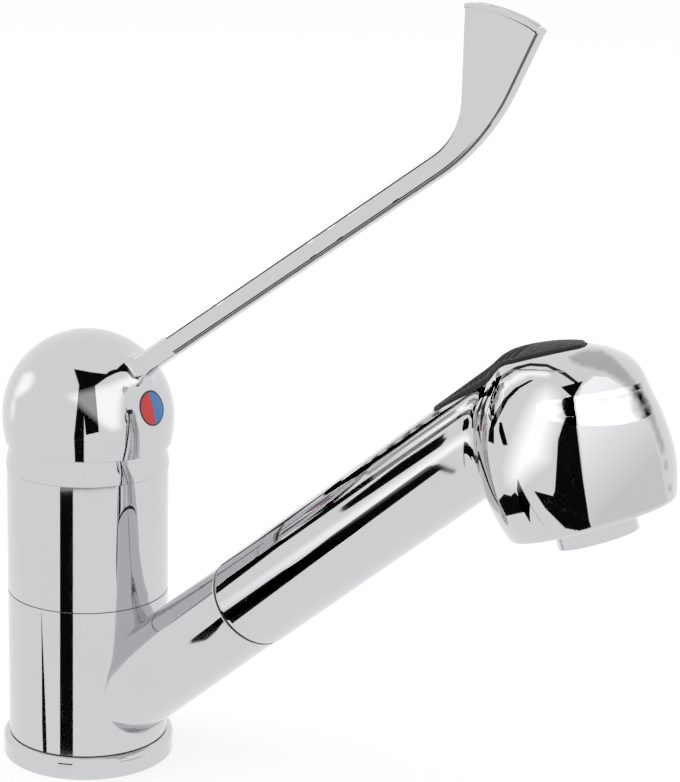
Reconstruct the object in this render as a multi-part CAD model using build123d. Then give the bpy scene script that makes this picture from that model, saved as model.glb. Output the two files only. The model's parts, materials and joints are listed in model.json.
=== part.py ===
from build123d import *
import os
from math import atan2, cos, pi, radians, sin, sqrt, tan

# Frame: millimetres, +Z up, origin at the centre of the base ring's underside on the deck.
# +X is the way the branch and the lever point, and both lie in the XZ plane at rest.

# Fits
running_gap = 0.05
seat_gap = 0.05
seam_gap = 0.3

# Column
column_r = 26.0
column_wall = 3.0
lower_body_h = 48.8
upper_body_h = 41.8
edge_round = 0.5

# Base
base_over = 1.9
base_ring_h = 7.0
base_ring_round = 2.0
base_lip_h = 1.5
base_lip_in = 1.9
base_plate_h = 5.2
gasket_edge = 1.9
gasket_groove_w = 3.5
gasket_groove_h = 0.8
stud_hole_r = 3.4
stud_hole_x = 2.0
stud_hole_y = 16.4
hose_hole_r = 6.9
hose_hole_x = 13.4

# Slide rings
slide_flange_h = 0.2
slide_sleeve_h = 7.0
slide_wall = 2.2
slide_flange_inset = 1.0

# Valve body's stem and ports
neck_h = 10.0
stem_r = 13.2
stem_x = -7.2
spigot_r = 12.2
port_circle_r = 6.0
port_thread_r = 4.5
port_thread_h = 10.0
channel_r = 3.6
channel_bend_z = 47.0
stop_pin_r = 1.5
stop_pin_z = 30.0
stop_groove_depth = 1.6
swivel_half_angle = 60.0

# Cartridge
cartridge_r = 17.5
cartridge_seat_depth = 30.2
cartridge_port_circle_r = 8.5
cartridge_base_h = 5.0
disc_h = 3.5
disc_r = 14.5
moving_disc_h = 3.0
moving_disc_r = 10.5
carrier_h = 5.0
carrier_slot_depth = 3.6
housing_wall = 1.9
housing_top_h = 1.4
housing_flange_r = 18.8
housing_flange_h = 2.0
rotor_neck_r = 11.7
rotor_plate_h = 5.0
rotor_top_h = 5.0
nut_thread_r = 20.0
nut_bore_r = 15.0
seal_wall = 1.1
seal_h = 1.4

# Lever pivot and spindle
pivot_drop = 0.2
pivot_pin_r = 1.5
spindle_x = 7.0
spindle_y = 7.8
spindle_top = 27.0
spindle_tip_r = 2.4
spindle_tip_drop = 14.6
lift_angle = 24.0

# Collar and dome
collar_h = 7.8
collar_wall = 3.2
collar_over = 0.3
collar_top_gap = 0.8
dome_over = 1.2
dome_rise = 16.8
dome_wall = 2.2
lip_gap = 0.3
lip_in = 0.9
lip_wall = 0.9
tongue_in = 3.55
tongue_proud = 1.5
boss_r = 9.0
boss_clear = 11.5

# Lever arm and paddle, in the plane of the lever, measured along and across the arm
lever_angle = 35.3
lever_rise = 3.1
arm_h = 6.7
arm_thick = 5.0
arm_round = 0.8
root_round_top = 5.0
root_round_under = 6.0
inner_bend_at = 174.0
outer_bend_at = 179.8
inner_bend_r = 20.0
outer_bend_r = 69.0
paddle_inner_angle = 54.9
paddle_outer_angle = 28.6
paddle_inner_len = 36.2
paddle_outer_len = 36.9
paddle_end_bulge = 1.45

# Index plug and grub screw
plug_r = 5.45
plug_rim = 0.5
plug_h = 2.0
plug_z_up = 6.7
plug_proud = 0.25
grub_r = 2.5
grub_len = 8.0

# Branch
branch_angle = 39.94
branch_axis_z = 10.2
branch_root_r = 15.57
branch_mouth_r = 14.55
branch_len = 89.0
branch_bore_r = 12.3
branch_bore_start = 18.0
branch_edge = 0.4
bush_wall = 0.95
bush_len = 28.0
bush_recess = 0.5
key_w = 2.0
key_len = 6.5

# Handset tube
dock_gap = 0.6
tube_rear_r = 14.95
tube_front_r = 14.5
tube_len = 128.0
tube_chamfer_len = 2.2
tube_chamfer = 0.45
dock_fit = 0.08
dock_spigot_len = 15.5
inlet_thread_r = 7.0
inlet_thread_len = 11.0
inlet_bore_r = 6.0
inlet_flange_len = 8.5

# Check valve
check_body_r = 9.4
check_body_len = 14.0
check_seat_r = 4.2
check_chamber_r = 6.6
check_poppet_r = 5.4
check_poppet_h = 2.0
check_stem_r = 1.2
waterway_r = 6.8
waterway_bore_r = 5.4
waterway_gap = 16.5

# Head: a bell turned about the outlet axis, with a crown ridge that carries the pad
rim_behind = 2.4
rim_below = 36.46
outlet_angle = 22.1
rim_r = 23.15
bell_r = 26.6
bell_widest_h = 16.0
bell_h = 45.2
bell_power = 1.9
bell_fullness = 0.22
rim_round = 1.6
head_wall = 2.4
crown_ahead = 4.18
crown_below = 6.21
crown_r = 20.0
crown_rise = 10.1
crown_edge = 7.0
crown_angle = 3.0

# Spray face and aerator
face_recess = 0.8
face_h = 3.2
nozzle_r = 0.6
nozzle_rows = ((14.6, 18), (17.8, 24))
face_seal_h = 1.4
chamber_wall = 2.0
chamber_h = 5.0
aerator_r = 11.5
aerator_drop = 5.15
aerator_neck_r = 10.2
aerator_neck_h = 4.0
aerator_wall = 1.4
aerator_insert_h = 8.4
aerator_recess = 0.9
aerator_hole_r = 0.9
mesh_h = 0.4
mesh_bar = 0.35
mesh_pitch = 1.6

# Selector pad and diverter
pad_angle = 28.3
pad_behind = 40.6
pad_below = 4.32
pad_len = 53.0
pad_rear_w = 7.2
pad_wide_at = 38.0
pad_wide_w = 13.0
pad_front_at = 47.0
pad_front_w = 9.6
pad_proud = 0.6
pad_depth = 2.0
pad_rib_pitch = 2.4
pad_rib_w = 0.9
pad_rib_depth = 0.7
pad_rib_count = 15
pad_rib_start = 4.5
pad_side_gap = 0.35
pad_travel = 1.8
carrier_plate_h = 1.2
carrier_inset = 1.3
pocket_floor = 1.6
press_at = 28.0
press_stem_r = 2.2
diverter_below = 9.5
diverter_r = 7.0
diverter_up = 4.0
diverter_down = 16.0
spool_r = 3.4
spool_seal_w = 1.2
spring_wire_r = 0.35

# Insides of the diverter, measured along its own axis from where the branch axis crosses it
shoulder_r = 5.6
shoulder_top = 6.6
neck_outer_r = 4.4
neck_len = 6.0
spool_low = 8.4
spool_waist_low = 4.4
spool_waist_high = 3.0
spool_top = 5.2
stem_joint = 8.4
tenon_r = 1.2
tenon_len = 3.0
boss_overlap = 7.0

# Legs of the diverter and the cover they stand in, measured up from the rim
outlet_leg_r = 5.2
outlet_leg_h = 18.0
outlet_bore_r = 3.2
outlet_spigot_r = 7.6
spray_leg_x = 16.2
spray_leg_r = 3.0
spray_bore_r = 1.4
spray_port_h = 28.0
spray_port_down = 6.4
cover_seat_h = 12.4
cover_tube_r = 11.4
boss_top_h = 15.6
ear_r = 2.8
ear_y = 14.4
ear_h = 2.0
screw_r = 1.2
nozzle_wall = 0.3
face_bore_h = 12.0
prism_low = -9.0
through = 60.0
dock_ring_back = 13.2
connector_seal_in = 3.6
check_web = 2.0

# Radii that follow the column and the dome
base_ring_r = column_r + base_over
gasket_groove_out = base_ring_r - gasket_edge
gasket_groove_in = gasket_groove_out - gasket_groove_w
dome_r = column_r + dome_over
lip_r = dome_r - lip_in
tongue_r = dome_r - tongue_in
tongue_x = dome_r + tongue_proud - tongue_r
collar_top_r = lip_r - lip_wall - collar_top_gap

# Heights worked out from the sizes above
lower_body_z = base_ring_h + seam_gap
mid_seam_z = lower_body_z + lower_body_h
upper_body_z = mid_seam_z + seam_gap
body_top_z = upper_body_z + upper_body_h
column_bore_r = column_r - column_wall
plate_r = column_bore_r - 0.6
plate_top_z = base_lip_h + base_plate_h
neck_r = column_bore_r - slide_wall - 2 * running_gap
seat_z = body_top_z - cartridge_seat_depth
fixed_disc_z = seat_z + cartridge_base_h
moving_disc_z = fixed_disc_z + disc_h
carrier_z = moving_disc_z + moving_disc_h
rotor_z = carrier_z + carrier_h + 0.1
rotor_plate_top = rotor_z + rotor_plate_h
housing_top_z = rotor_plate_top + 0.1 + housing_top_h
pivot_z = body_top_z - pivot_drop
rotor_top_z = body_top_z + rotor_top_h
collar_top_z = body_top_z + collar_h
lip_z = collar_top_z + lip_gap
dome_z = body_top_z + dome_rise
disc_travel = spindle_tip_drop * sin(radians(lift_angle))
disc_offset = -disc_travel / 2
plug_z = dome_z + plug_z_up
plug_face_x = tongue_x + tongue_r

face_r = rim_r - head_wall - seat_gap
face_top_h = face_recess + face_h
mat_top_h = face_top_h + face_seal_h
cover_top_h = mat_top_h + chamber_h
tube_bore_r = tube_rear_r - head_wall
spool_bore_r = spool_r + 0.15
neck_top = shoulder_top + neck_len
pocket_depth = pad_depth - pad_proud + carrier_plate_h + pad_travel + 0.3

# Directions worked out from the angles above
branch_dir = Vector(cos(radians(branch_angle)), 0, sin(radians(branch_angle)))
branch_up = Vector(-branch_dir.Z, 0, branch_dir.X)
outlet_up = Vector(-sin(radians(outlet_angle)), 0, cos(radians(outlet_angle)))
pad_dir = Vector(cos(radians(pad_angle)), 0, sin(radians(pad_angle)))
pad_up = Vector(-pad_dir.Z, 0, pad_dir.X)
lever_dir = Vector(cos(radians(lever_angle)), 0, sin(radians(lever_angle)))
crown_up = Vector(-sin(radians(crown_angle)), 0, cos(radians(crown_angle)))

branch_frame = Plane(origin=(0, 0, branch_axis_z), x_dir=branch_up, z_dir=branch_dir)
lever_frame = Plane(origin=(0, 0, dome_z + lever_rise), x_dir=lever_dir, z_dir=(0, -1, 0))

# The head, placed from the tube's front end, and the pad and crown, placed from the head's rim
tube_start = branch_len + dock_gap
rim_origin = branch_frame.from_local_coords(Vector(-rim_below, 0, tube_start + tube_len - rim_behind))
rim_frame = Plane(origin=rim_origin, x_dir=(outlet_up.Z, 0, -outlet_up.X), z_dir=outlet_up)
crown_origin = rim_frame.from_local_coords(Vector(crown_ahead, 0, bell_h - crown_below))
crown_frame = Plane(origin=crown_origin, x_dir=(0, 1, 0), z_dir=crown_up)
pad_origin = rim_frame.from_local_coords(Vector(-pad_behind, 0, bell_h - pad_below))
pad_frame = Plane(origin=pad_origin, x_dir=pad_dir, z_dir=pad_up)
diverter_origin = pad_frame.from_local_coords(Vector(press_at, 0, -diverter_below))
diverter_frame = Plane(origin=diverter_origin, x_dir=pad_dir, z_dir=pad_up)
diverter_at = branch_frame.to_local_coords(diverter_origin).Z

# Places along the branch axis
spigot_start = tube_start - dock_spigot_len
dock_ring_at = tube_start - dock_ring_back
connector_seal_at = tube_start + connector_seal_in
check_start = tube_start + 2.4
waterway_start = check_start + check_body_len
waterway_end = diverter_at - waterway_gap
boss_start = waterway_end - boss_overlap
check_seat_at = check_start + 3.2
bush_r = branch_bore_r - seat_gap
bush_bore_r = bush_r - bush_wall
spigot_dock_r = bush_bore_r - dock_fit


def disc(radius, low, high, x=0.0, y=0.0):
    """A cylinder along Z between two heights."""
    return Pos(x, y, low) * Cylinder(radius, high - low, align=(Align.CENTER, Align.CENTER, Align.MIN))


def ring(outer, inner, low, high, x=0.0, y=0.0):
    """A round ring along Z between two heights."""
    return disc(outer, low, high, x, y) - disc(inner, low - 1, high + 1, x, y)


def block(size_x, size_y, low, high, x=0.0, y=0.0):
    """A box standing between two heights."""
    return Pos(x, y, low) * Box(size_x, size_y, high - low, align=(Align.CENTER, Align.CENTER, Align.MIN))


def turned(points):
    """A solid of revolution about Z from (radius, height) points."""
    return revolve(Plane.XZ * make_face(Polyline(*points, close=True)), Axis.Z)


def rod(start, end, radius):
    """A round bar between two points."""
    run = Vector(*end) - Vector(*start)
    return Plane(origin=start, z_dir=run) * disc(radius, 0, run.length)


def port_places(circle_r, centre_x):
    """Hot, cold and mixed port centres on a circle."""
    return [(centre_x + circle_r * cos(radians(a)), circle_r * sin(radians(a))) for a in (60, -60, 180)]


def base_ring():
    body = turned([
        (column_bore_r - base_lip_in, 0),
        (base_ring_r, 0),
        (base_ring_r, base_ring_h),
        (plate_r + seat_gap, base_ring_h),
        (plate_r + seat_gap, base_lip_h),
        (column_bore_r - base_lip_in, base_lip_h),
    ])
    top_edge = body.edges().filter_by(GeomType.CIRCLE).sort_by(lambda e: e.radius + e.center().Z)[-1]
    body = fillet(top_edge, base_ring_round)
    return body - ring(gasket_groove_out, gasket_groove_in, 0, gasket_groove_h)


def base_gasket():
    return ring(gasket_groove_out - seat_gap, gasket_groove_in + seat_gap, 0, gasket_groove_h)


def base_plate():
    plate = disc(plate_r, base_lip_h, plate_top_z)
    plate -= disc(spigot_r + seat_gap, 0, plate_top_z + 1, stem_x)
    plate -= disc(hose_hole_r, 0, plate_top_z + 1, hose_hole_x)
    for side in (1, -1):
        plate -= disc(stud_hole_r, 0, plate_top_z + 1, stud_hole_x, side * stud_hole_y)
    return plate


def slide_ring(flange_z, sleeve_low, sleeve_high):
    sleeve = ring(column_bore_r - running_gap, neck_r + running_gap, sleeve_low, sleeve_high)
    flange = ring(column_r - slide_flange_inset, neck_r + running_gap, flange_z, flange_z + slide_flange_h)
    return sleeve + flange


def lower_slide_ring():
    return slide_ring(base_ring_h, base_ring_h, base_ring_h + slide_sleeve_h)


def upper_slide_ring():
    flange_z = upper_body_z - slide_flange_h
    return slide_ring(flange_z, upper_body_z - slide_sleeve_h, upper_body_z)


def valve_body():
    body = disc(column_r, upper_body_z, body_top_z)
    body = chamfer(body.edges().sort_by(Axis.Z)[-1], edge_round / 2)
    body += disc(neck_r, upper_body_z - neck_h, upper_body_z)
    body += disc(stem_r, plate_top_z, upper_body_z, stem_x)
    body += disc(spigot_r, base_lip_h - 0.5, plate_top_z, stem_x)
    body -= disc(cartridge_r + seat_gap, seat_z, body_top_z + 1)
    body -= disc(nut_thread_r + seat_gap, housing_top_z - housing_flange_h, body_top_z + 1)
    body -= disc(hose_hole_r, 0, upper_body_z - neck_h / 2, hose_hole_x)
    tops = port_places(cartridge_port_circle_r, 0)
    bottoms = port_places(port_circle_r, stem_x)
    for top, bottom in zip(tops, bottoms):
        body -= rod((*bottom, channel_bend_z), (*top, seat_z + 0.01), channel_r)
        body -= Pos(*bottom, channel_bend_z) * Sphere(channel_r)
        body -= disc(channel_r, 0, channel_bend_z, *bottom)
        body -= disc(port_thread_r, 0, base_lip_h + port_thread_h, *bottom)
    stop_x = stem_x - stem_r
    body -= rod((stop_x + 5, 0, stop_pin_z), (stop_x - 9, 0, stop_pin_z), stop_pin_r)
    return body


def swivel_stop_pin():
    """A pin in the stem's back that runs in the swivel body's groove."""
    start_x = stem_x - stem_r + 5
    end_x = -(column_bore_r + stop_groove_depth - 0.4)
    return rod((start_x, 0, stop_pin_z), (end_x, 0, stop_pin_z), stop_pin_r)


def stop_groove():
    half = swivel_half_angle + 6
    groove_r = column_bore_r + stop_groove_depth
    section = Pos(groove_r - 5, stop_pin_z) * Rectangle(10, 2 * stop_pin_r + 0.8)
    swept = revolve(Plane.XZ * section, Axis.Z, 2 * half)
    return Rot(0, 0, 180 - half) * swept


def branch_cone(extra=0.0, length=branch_len):
    cone = Cone(branch_root_r + extra, branch_mouth_r + extra, length,
                align=(Align.CENTER, Align.CENTER, Align.MIN))
    return branch_frame * cone


def swivel_body():
    column = disc(column_r, lower_body_z, mid_seam_z)
    branch = branch_cone()
    mouth_edge = branch.edges().filter_by(GeomType.CIRCLE).sort_by(Axis.X)[-1]
    branch = fillet(mouth_edge, branch_edge)
    body = column + branch
    body -= disc(column_bore_r, lower_body_z - 20, mid_seam_z + 20)
    body -= branch_frame * disc(branch_bore_r, branch_bore_start, branch_len + 1)
    body -= stop_groove()
    return body


def key_block(width, low_r, high_r, start, end):
    """A straight key along the branch axis, on its underside."""
    key = Box(high_r - low_r, width, end - start, align=(Align.MAX, Align.CENTER, Align.MIN))
    return branch_frame * Pos(-low_r, 0, start) * key


def guide_bush():
    end = branch_len - bush_recess
    body = branch_frame * ring(bush_r, bush_bore_r, end - bush_len, end)
    slot_start = end - key_len - 2
    return body - key_block(key_w + 0.2, bush_bore_r - 1, bush_r + 1, slot_start, end + 1)


def cartridge_base():
    body = disc(cartridge_r, seat_z, fixed_disc_z)
    for x, y in port_places(cartridge_port_circle_r, 0):
        body -= disc(channel_r, seat_z - 1, fixed_disc_z + 1, x, y)
        body -= disc(channel_r + seal_wall + 2 * seat_gap, seat_z - 1, seat_z + seal_h, x, y)
    return body


def cartridge_seals():
    rings = []
    for x, y in port_places(cartridge_port_circle_r, 0):
        rings.append(ring(channel_r + seal_wall + seat_gap, channel_r + seat_gap, seat_z, seat_z + seal_h, x, y))
    return Compound(rings)


def cartridge_housing():
    inner_r = cartridge_r - housing_wall
    body = disc(cartridge_r, fixed_disc_z, housing_top_z)
    body += disc(housing_flange_r, housing_top_z - housing_flange_h, housing_top_z)
    body -= disc(inner_r, fixed_disc_z - 1, housing_top_z - housing_top_h)
    body -= disc(rotor_neck_r + running_gap, fixed_disc_z, housing_top_z + 1)
    return body


def cartridge_nut():
    body = ring(nut_thread_r, nut_bore_r, housing_top_z, body_top_z)
    for angle in range(0, 180, 60):
        body -= Rot(0, 0, angle) * block(2 * nut_thread_r + 2, 3.0, body_top_z - 2.0, body_top_z + 1)
    return body


def fixed_disc():
    body = disc(disc_r, fixed_disc_z, moving_disc_z)
    for x, y in port_places(cartridge_port_circle_r, 0):
        body -= disc(channel_r - 0.4, fixed_disc_z - 1, moving_disc_z + 1, x, y)
    return body


def moving_disc():
    body = disc(moving_disc_r, moving_disc_z, carrier_z, disc_offset)
    hollow = disc(moving_disc_r * 0.62, moving_disc_z - 1, moving_disc_z + moving_disc_h / 2, disc_offset)
    return body - hollow


def disc_carrier():
    body = disc(moving_disc_r + 0.6, carrier_z, carrier_z + carrier_h, disc_offset)
    slot = block(2 * spindle_tip_r + 0.4, spindle_y + 0.3, carrier_z + carrier_h - carrier_slot_depth, carrier_z + 20)
    return body - slot


def cartridge_rotor():
    body = disc(cartridge_r - housing_wall - 0.3, rotor_z, rotor_plate_top)
    body += disc(rotor_neck_r, rotor_z, rotor_top_z)
    swing = tan(radians(lift_angle))
    half = spindle_x / 2 / cos(radians(lift_angle)) + 0.5
    upper = half + (rotor_top_z - pivot_z) * swing
    lower = disc_travel + spindle_tip_r + 0.4
    body -= block(upper + half, spindle_y + 0.4, pivot_z, rotor_top_z + 1, (half - upper) / 2)
    body -= block(lower + half, spindle_y + 0.4, rotor_z - 1, pivot_z, (lower - half) / 2)
    body -= rod((0, -30, pivot_z), (0, 30, pivot_z), pivot_pin_r)
    return body


def pivot_pin():
    half = rotor_neck_r - 0.6
    return rod((0, -half, pivot_z), (0, half, pivot_z), pivot_pin_r)


def lever_spindle():
    tip_z = pivot_z - spindle_tip_drop
    body = block(spindle_x, spindle_y, pivot_z - 4, pivot_z + spindle_top)
    body += block(2 * spindle_tip_r - 0.8, spindle_y, tip_z, pivot_z)
    body += rod((0, -spindle_y / 2, tip_z), (0, spindle_y / 2, tip_z), spindle_tip_r)
    body -= rod((0, -spindle_y, pivot_z), (0, spindle_y, pivot_z), pivot_pin_r + running_gap)
    return body


def collar_r_at(height):
    """Outer radius of the collar: it narrows towards the dome's lip, which swings over it."""
    share = (height - body_top_z) / collar_h
    return column_r + collar_over - (column_r + collar_over - collar_top_r) * share ** 1.6


def collar_ring():
    steps = 6
    heights = [body_top_z + collar_h * i / steps for i in range(steps + 1)]
    outer = [(collar_r_at(z), z) for z in heights]
    wall_in = collar_top_r - collar_wall
    profile = Polyline((wall_in, collar_top_z), (wall_in, body_top_z), outer[0])
    profile += Spline(*outer)
    profile += Line(outer[-1], (wall_in, collar_top_z))
    return revolve(Plane.XZ * make_face(profile), Axis.Z)


def paddle_outline():
    """The lever's side view, in the lever's own frame."""
    half = arm_h / 2
    inner_end = Vector(inner_bend_at, half) + Vector(
        paddle_inner_len * cos(radians(paddle_inner_angle)),
        paddle_inner_len * sin(radians(paddle_inner_angle)),
    )
    outer_end = Vector(outer_bend_at, -half) + Vector(
        paddle_outer_len * cos(radians(paddle_outer_angle)),
        paddle_outer_len * sin(radians(paddle_outer_angle)),
    )
    edge = (inner_end - outer_end)
    out = Vector(-edge.Y, edge.X).normalized() * -paddle_end_bulge
    middle = (inner_end + outer_end) * 0.5 + out
    lines = Polyline((0, half), (0, -half), (outer_bend_at, -half), outer_end)
    lines += ThreePointArc(outer_end, middle, inner_end)
    lines += Polyline(inner_end, (inner_bend_at, half), (0, half))
    face = make_face(lines)
    inner = face.vertices().sort_by_distance((inner_bend_at, half, 0))[0]
    face = fillet(inner, inner_bend_r)
    outer = face.vertices().sort_by_distance((outer_bend_at, -half, 0))[0]
    return fillet(outer, outer_bend_r)


def lever_arm():
    """Arm and paddle, rounded into the dome's section where they leave it."""
    centre = lever_frame.to_local_coords(Vector(tongue_x, 0, dome_z))
    section = Pos(centre.X, centre.Y) * Circle(tongue_r - 0.4)
    face = paddle_outline() + section
    reach = sqrt((tongue_r - 0.4) ** 2 - (arm_h / 2 - centre.Y) ** 2) + centre.X
    top = face.vertices().sort_by_distance((reach, arm_h / 2, 0))[0]
    face = fillet(top, root_round_top)
    reach = sqrt((tongue_r - 0.4) ** 2 - (arm_h / 2 + centre.Y) ** 2) + centre.X
    under = face.vertices().sort_by_distance((reach, -arm_h / 2, 0))[0]
    face = fillet(under, root_round_under)
    blade = extrude(lever_frame * face, arm_thick / 2, both=True)
    long_edges = [e for e in blade.edges() if abs(abs(e.center().Y) - arm_thick / 2) < 0.01]
    return fillet(long_edges, arm_round)


def dome_form():
    """The dome: a half ball that narrows a little down to its lip."""
    crown = dome_r * sqrt(0.5)
    side = ((lip_r + dome_r) / 2 + 0.25, (lip_z + dome_z) / 2)
    outline = Polyline((0, dome_z + dome_r), (0, lip_z), (lip_r, lip_z))
    outline += ThreePointArc((lip_r, lip_z), side, (dome_r, dome_z))
    outline += ThreePointArc((dome_r, dome_z), (crown, dome_z + crown), (0, dome_z + dome_r))
    return revolve(Plane.XZ * make_face(outline), Axis.Z)


def lever_handle():
    body = dome_form()
    body += Pos(tongue_x, 0, dome_z) * Sphere(tongue_r)
    body += disc(tongue_r, lip_z, dome_z, tongue_x)
    body += lever_arm()
    body -= disc(dome_r * 2, lip_z - dome_r * 2, lip_z)
    hollow = Pos(0, 0, dome_z) * Sphere(dome_r - dome_wall)
    hollow += disc(lip_r - lip_wall, lip_z - 20, dome_z - 4)
    hollow -= disc(boss_r, pivot_z + boss_clear, dome_z + dome_r)
    body -= hollow
    body -= block(spindle_x + 0.1, spindle_y + 0.1, lip_z - 20, pivot_z + spindle_top + 0.3)
    body -= rod((plug_face_x - plug_h, 0, plug_z), (plug_face_x + 5, 0, plug_z), plug_r + seat_gap)
    return body - rod((0, 0, plug_z), (plug_face_x, 0, plug_z), grub_r)


def grub_screw():
    start_x = spindle_x / 2 + 0.05
    end = (start_x + grub_len, 0, plug_z)
    body = rod((start_x, 0, plug_z), end, grub_r)
    socket = Plane(origin=end, z_dir=(-1, 0, 0)) * extrude(RegularPolygon(1.3, 6), 3)
    return body - socket


def plug_disc(radius, start, end):
    back_x = plug_face_x - plug_h
    return rod((back_x + start, 0, plug_z), (back_x + end, 0, plug_z), radius)


def index_plug():
    body = plug_disc(plug_r, 0, plug_h + plug_proud)
    return body - plug_disc(plug_r - plug_rim, plug_h / 2, plug_h + 1)


def index_half(side):
    body = plug_disc(plug_r - plug_rim - 0.03, plug_h / 2, plug_h + plug_proud - 0.05)
    keep = Pos(plug_face_x, side * 10.02, plug_z) * Box(60, 20, 60)
    return body & keep


def index_red():
    return index_half(-1)


def index_blue():
    return index_half(1)


def bell_profile(extra):
    """(radius, height) points of the bell, from the rim nearly to its top."""
    points = []
    for i in range(5):
        share = i / 5
        swell = (bell_r - rim_r) * (1 - (1 - share) ** 2)
        points.append((rim_r + swell + extra, bell_widest_h * share))
    upper_h = bell_h - bell_widest_h + extra
    for share in (0.0, 0.2, 0.4, 0.6, 0.75, 0.87, 0.95):
        radius = (bell_r + extra) * (1 - share ** bell_power) ** bell_fullness
        points.append((radius, bell_widest_h + upper_h * share))
    return points


def bell(extra=0.0):
    points = bell_profile(extra)
    top = (0, bell_h + extra)
    outline = Line((0, 0), points[0])
    outline += Spline(*points, top, tangents=[(0.43, 1), (-1, 0)])
    outline += Line(top, (0, 0))
    face = make_face(outline)
    rim_corner = face.vertices().sort_by_distance((*points[0], 0))[0]
    face = fillet(rim_corner, rim_round)
    return rim_frame * revolve(Plane.XZ * face, Axis.Z)


def tube(extra=0.0):
    """The handset's tube with a round front end; only the outer form is chamfered at the back."""
    rear_r = tube_rear_r + extra
    front_r = tube_front_r + extra
    nose = front_r * sqrt(0.5)
    inset = tube_chamfer if extra == 0 else 0
    start = 0 if extra == 0 else -2
    outline = Polyline((0, start), (rear_r - inset, start), (rear_r, tube_chamfer_len), (front_r, tube_len))
    outline += ThreePointArc((front_r, tube_len), (nose, tube_len + nose), (0, tube_len + front_r))
    outline += Line((0, tube_len + front_r), (0, start))
    body = revolve(Plane.XZ * make_face(outline), Axis.Z)
    return branch_frame * Pos(0, 0, tube_start) * body


def crown(extra=0.0):
    """A flattened ball that rounds the head's top over the bell: a wide arc on top of a small one."""
    rise = crown_rise + extra
    edge = crown_edge + extra
    inner = crown_r - crown_edge
    top_r = (inner ** 2 + rise ** 2 - edge ** 2) / (2 * (rise - edge))
    share = edge / (top_r - edge)
    join = (inner * (1 + share), (top_r - rise) * share)
    join_angle = atan2(join[0], join[1] + top_r - rise)
    middle = (top_r * sin(join_angle / 2), top_r * cos(join_angle / 2) + rise - top_r)
    under = (join[0], -join[1])
    outline = ThreePointArc((0, rise), middle, join) + ThreePointArc(join, (inner + edge, 0), under)
    outline += Polyline(under, (0, under[1]), (0, rise))
    return crown_frame * revolve(Plane.XZ * make_face(outline), Axis.Z)


def head_form(extra=0.0):
    """The handset's outer form, grown or shrunk by a distance."""
    return bell(extra) + tube(extra) + crown(extra)


def pad_outline(extra):
    """The pad's plan: round behind, widest in the middle and pointed in front."""
    side = [(pad_rear_w, pad_rear_w), (pad_wide_at, pad_wide_w)]
    nose = [(pad_wide_at, pad_wide_w), (pad_front_at, pad_front_w), (pad_len, 0)]
    heel = [(pad_rear_w, -pad_rear_w), (0, 0), (pad_rear_w, pad_rear_w)]
    outline = ThreePointArc(*heel) + Line(*side) + ThreePointArc(*nose)
    outline += ThreePointArc(*[(u, -w) for u, w in reversed(nose)])
    outline += Line(*[(u, -w) for u, w in reversed(side)])
    face = make_face(outline)
    if extra:
        face = offset(face, extra)
    return face


def pad_prism(extra, low, high):
    return pad_frame * Pos(0, 0, low) * extrude(pad_outline(extra), high - low)


def pad_layer(extra, top, bottom):
    """The crown inside the pad's outline, between two distances from its surface."""
    return (head_form(top) & pad_prism(extra, prism_low, through)) - head_form(bottom)


def selector_pad():
    body = pad_layer(0, pad_proud, pad_proud - pad_depth)
    grooves = []
    for i in range(pad_rib_count):
        u = pad_rib_start + pad_rib_pitch * i
        grooves.append(pad_frame * Pos(u, 0, 0) * Box(pad_rib_pitch - pad_rib_w, through, through))
    lower = head_form(pad_proud - pad_rib_depth)
    return body - [groove - lower for groove in grooves]


def pad_carrier():
    top = pad_proud - pad_depth
    body = pad_layer(-carrier_inset, top, top - carrier_plate_h)
    body += (diverter_frame * disc(press_stem_r, stem_joint, through)) & head_form(top - carrier_plate_h / 2)
    return body - diverter_frame * disc(tenon_r + seat_gap, stem_joint - 1, stem_joint + tenon_len + 0.3)


def handset_shell():
    form = head_form()
    cavity = head_form(-head_wall)
    cavity -= rim_frame * ring(bell_r + 5, face_r + seat_gap, -1, face_bore_h)
    cavity += rim_frame * disc(face_r + seat_gap, -1, 1)
    floor = pad_prism(pad_side_gap + pocket_floor, prism_low, through)
    floor -= head_form(-pocket_depth - pocket_floor)
    cavity -= floor
    body = form - cavity
    body -= pad_layer(pad_side_gap, pad_proud + 2, -pocket_depth)
    return body - diverter_frame * disc(neck_outer_r + seat_gap, 0, diverter_below + 4)


def inlet_connector():
    end = tube_start + inlet_flange_len
    body = disc(spigot_dock_r, spigot_start, tube_start + 1)
    body += disc(tube_bore_r - seat_gap, tube_start + 1, end)
    body -= disc(inlet_thread_r, spigot_start - 1, spigot_start + inlet_thread_len)
    body -= disc(inlet_bore_r, spigot_start, end + 1)
    body -= disc(check_body_r + seat_gap, check_start, end + 1)
    body -= ring(tube_bore_r + 1, tube_bore_r - seal_wall, connector_seal_at, connector_seal_at + seal_h)
    body -= ring(spigot_dock_r + 1, spigot_dock_r - seal_wall, dock_ring_at, dock_ring_at + seal_h)
    body = branch_frame * body
    key_end = branch_len - bush_recess - 1
    return body + key_block(key_w, spigot_dock_r - 0.5, bush_r - 0.3, key_end - key_len, key_end)


def docking_o_ring():
    body = ring(spigot_dock_r + 0.04, spigot_dock_r - seal_wall, dock_ring_at, dock_ring_at + seal_h)
    return branch_frame * body


def connector_seal():
    body = ring(tube_bore_r - seat_gap, tube_bore_r - seal_wall, connector_seal_at, connector_seal_at + seal_h)
    return branch_frame * body


def check_valve_body():
    end = check_start + check_body_len
    body = disc(check_body_r, check_start, end)
    body -= disc(check_seat_r, check_start - 1, check_seat_at + 1)
    body -= disc(check_chamber_r, check_seat_at, end - check_web)
    body -= disc(check_stem_r + running_gap, check_start, end + 1)
    holes = [Rot(0, 0, 60 * i) * disc(1.5, end - check_web - 1, end + 1, 4.4) for i in range(6)]
    return branch_frame * (body - holes)


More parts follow.
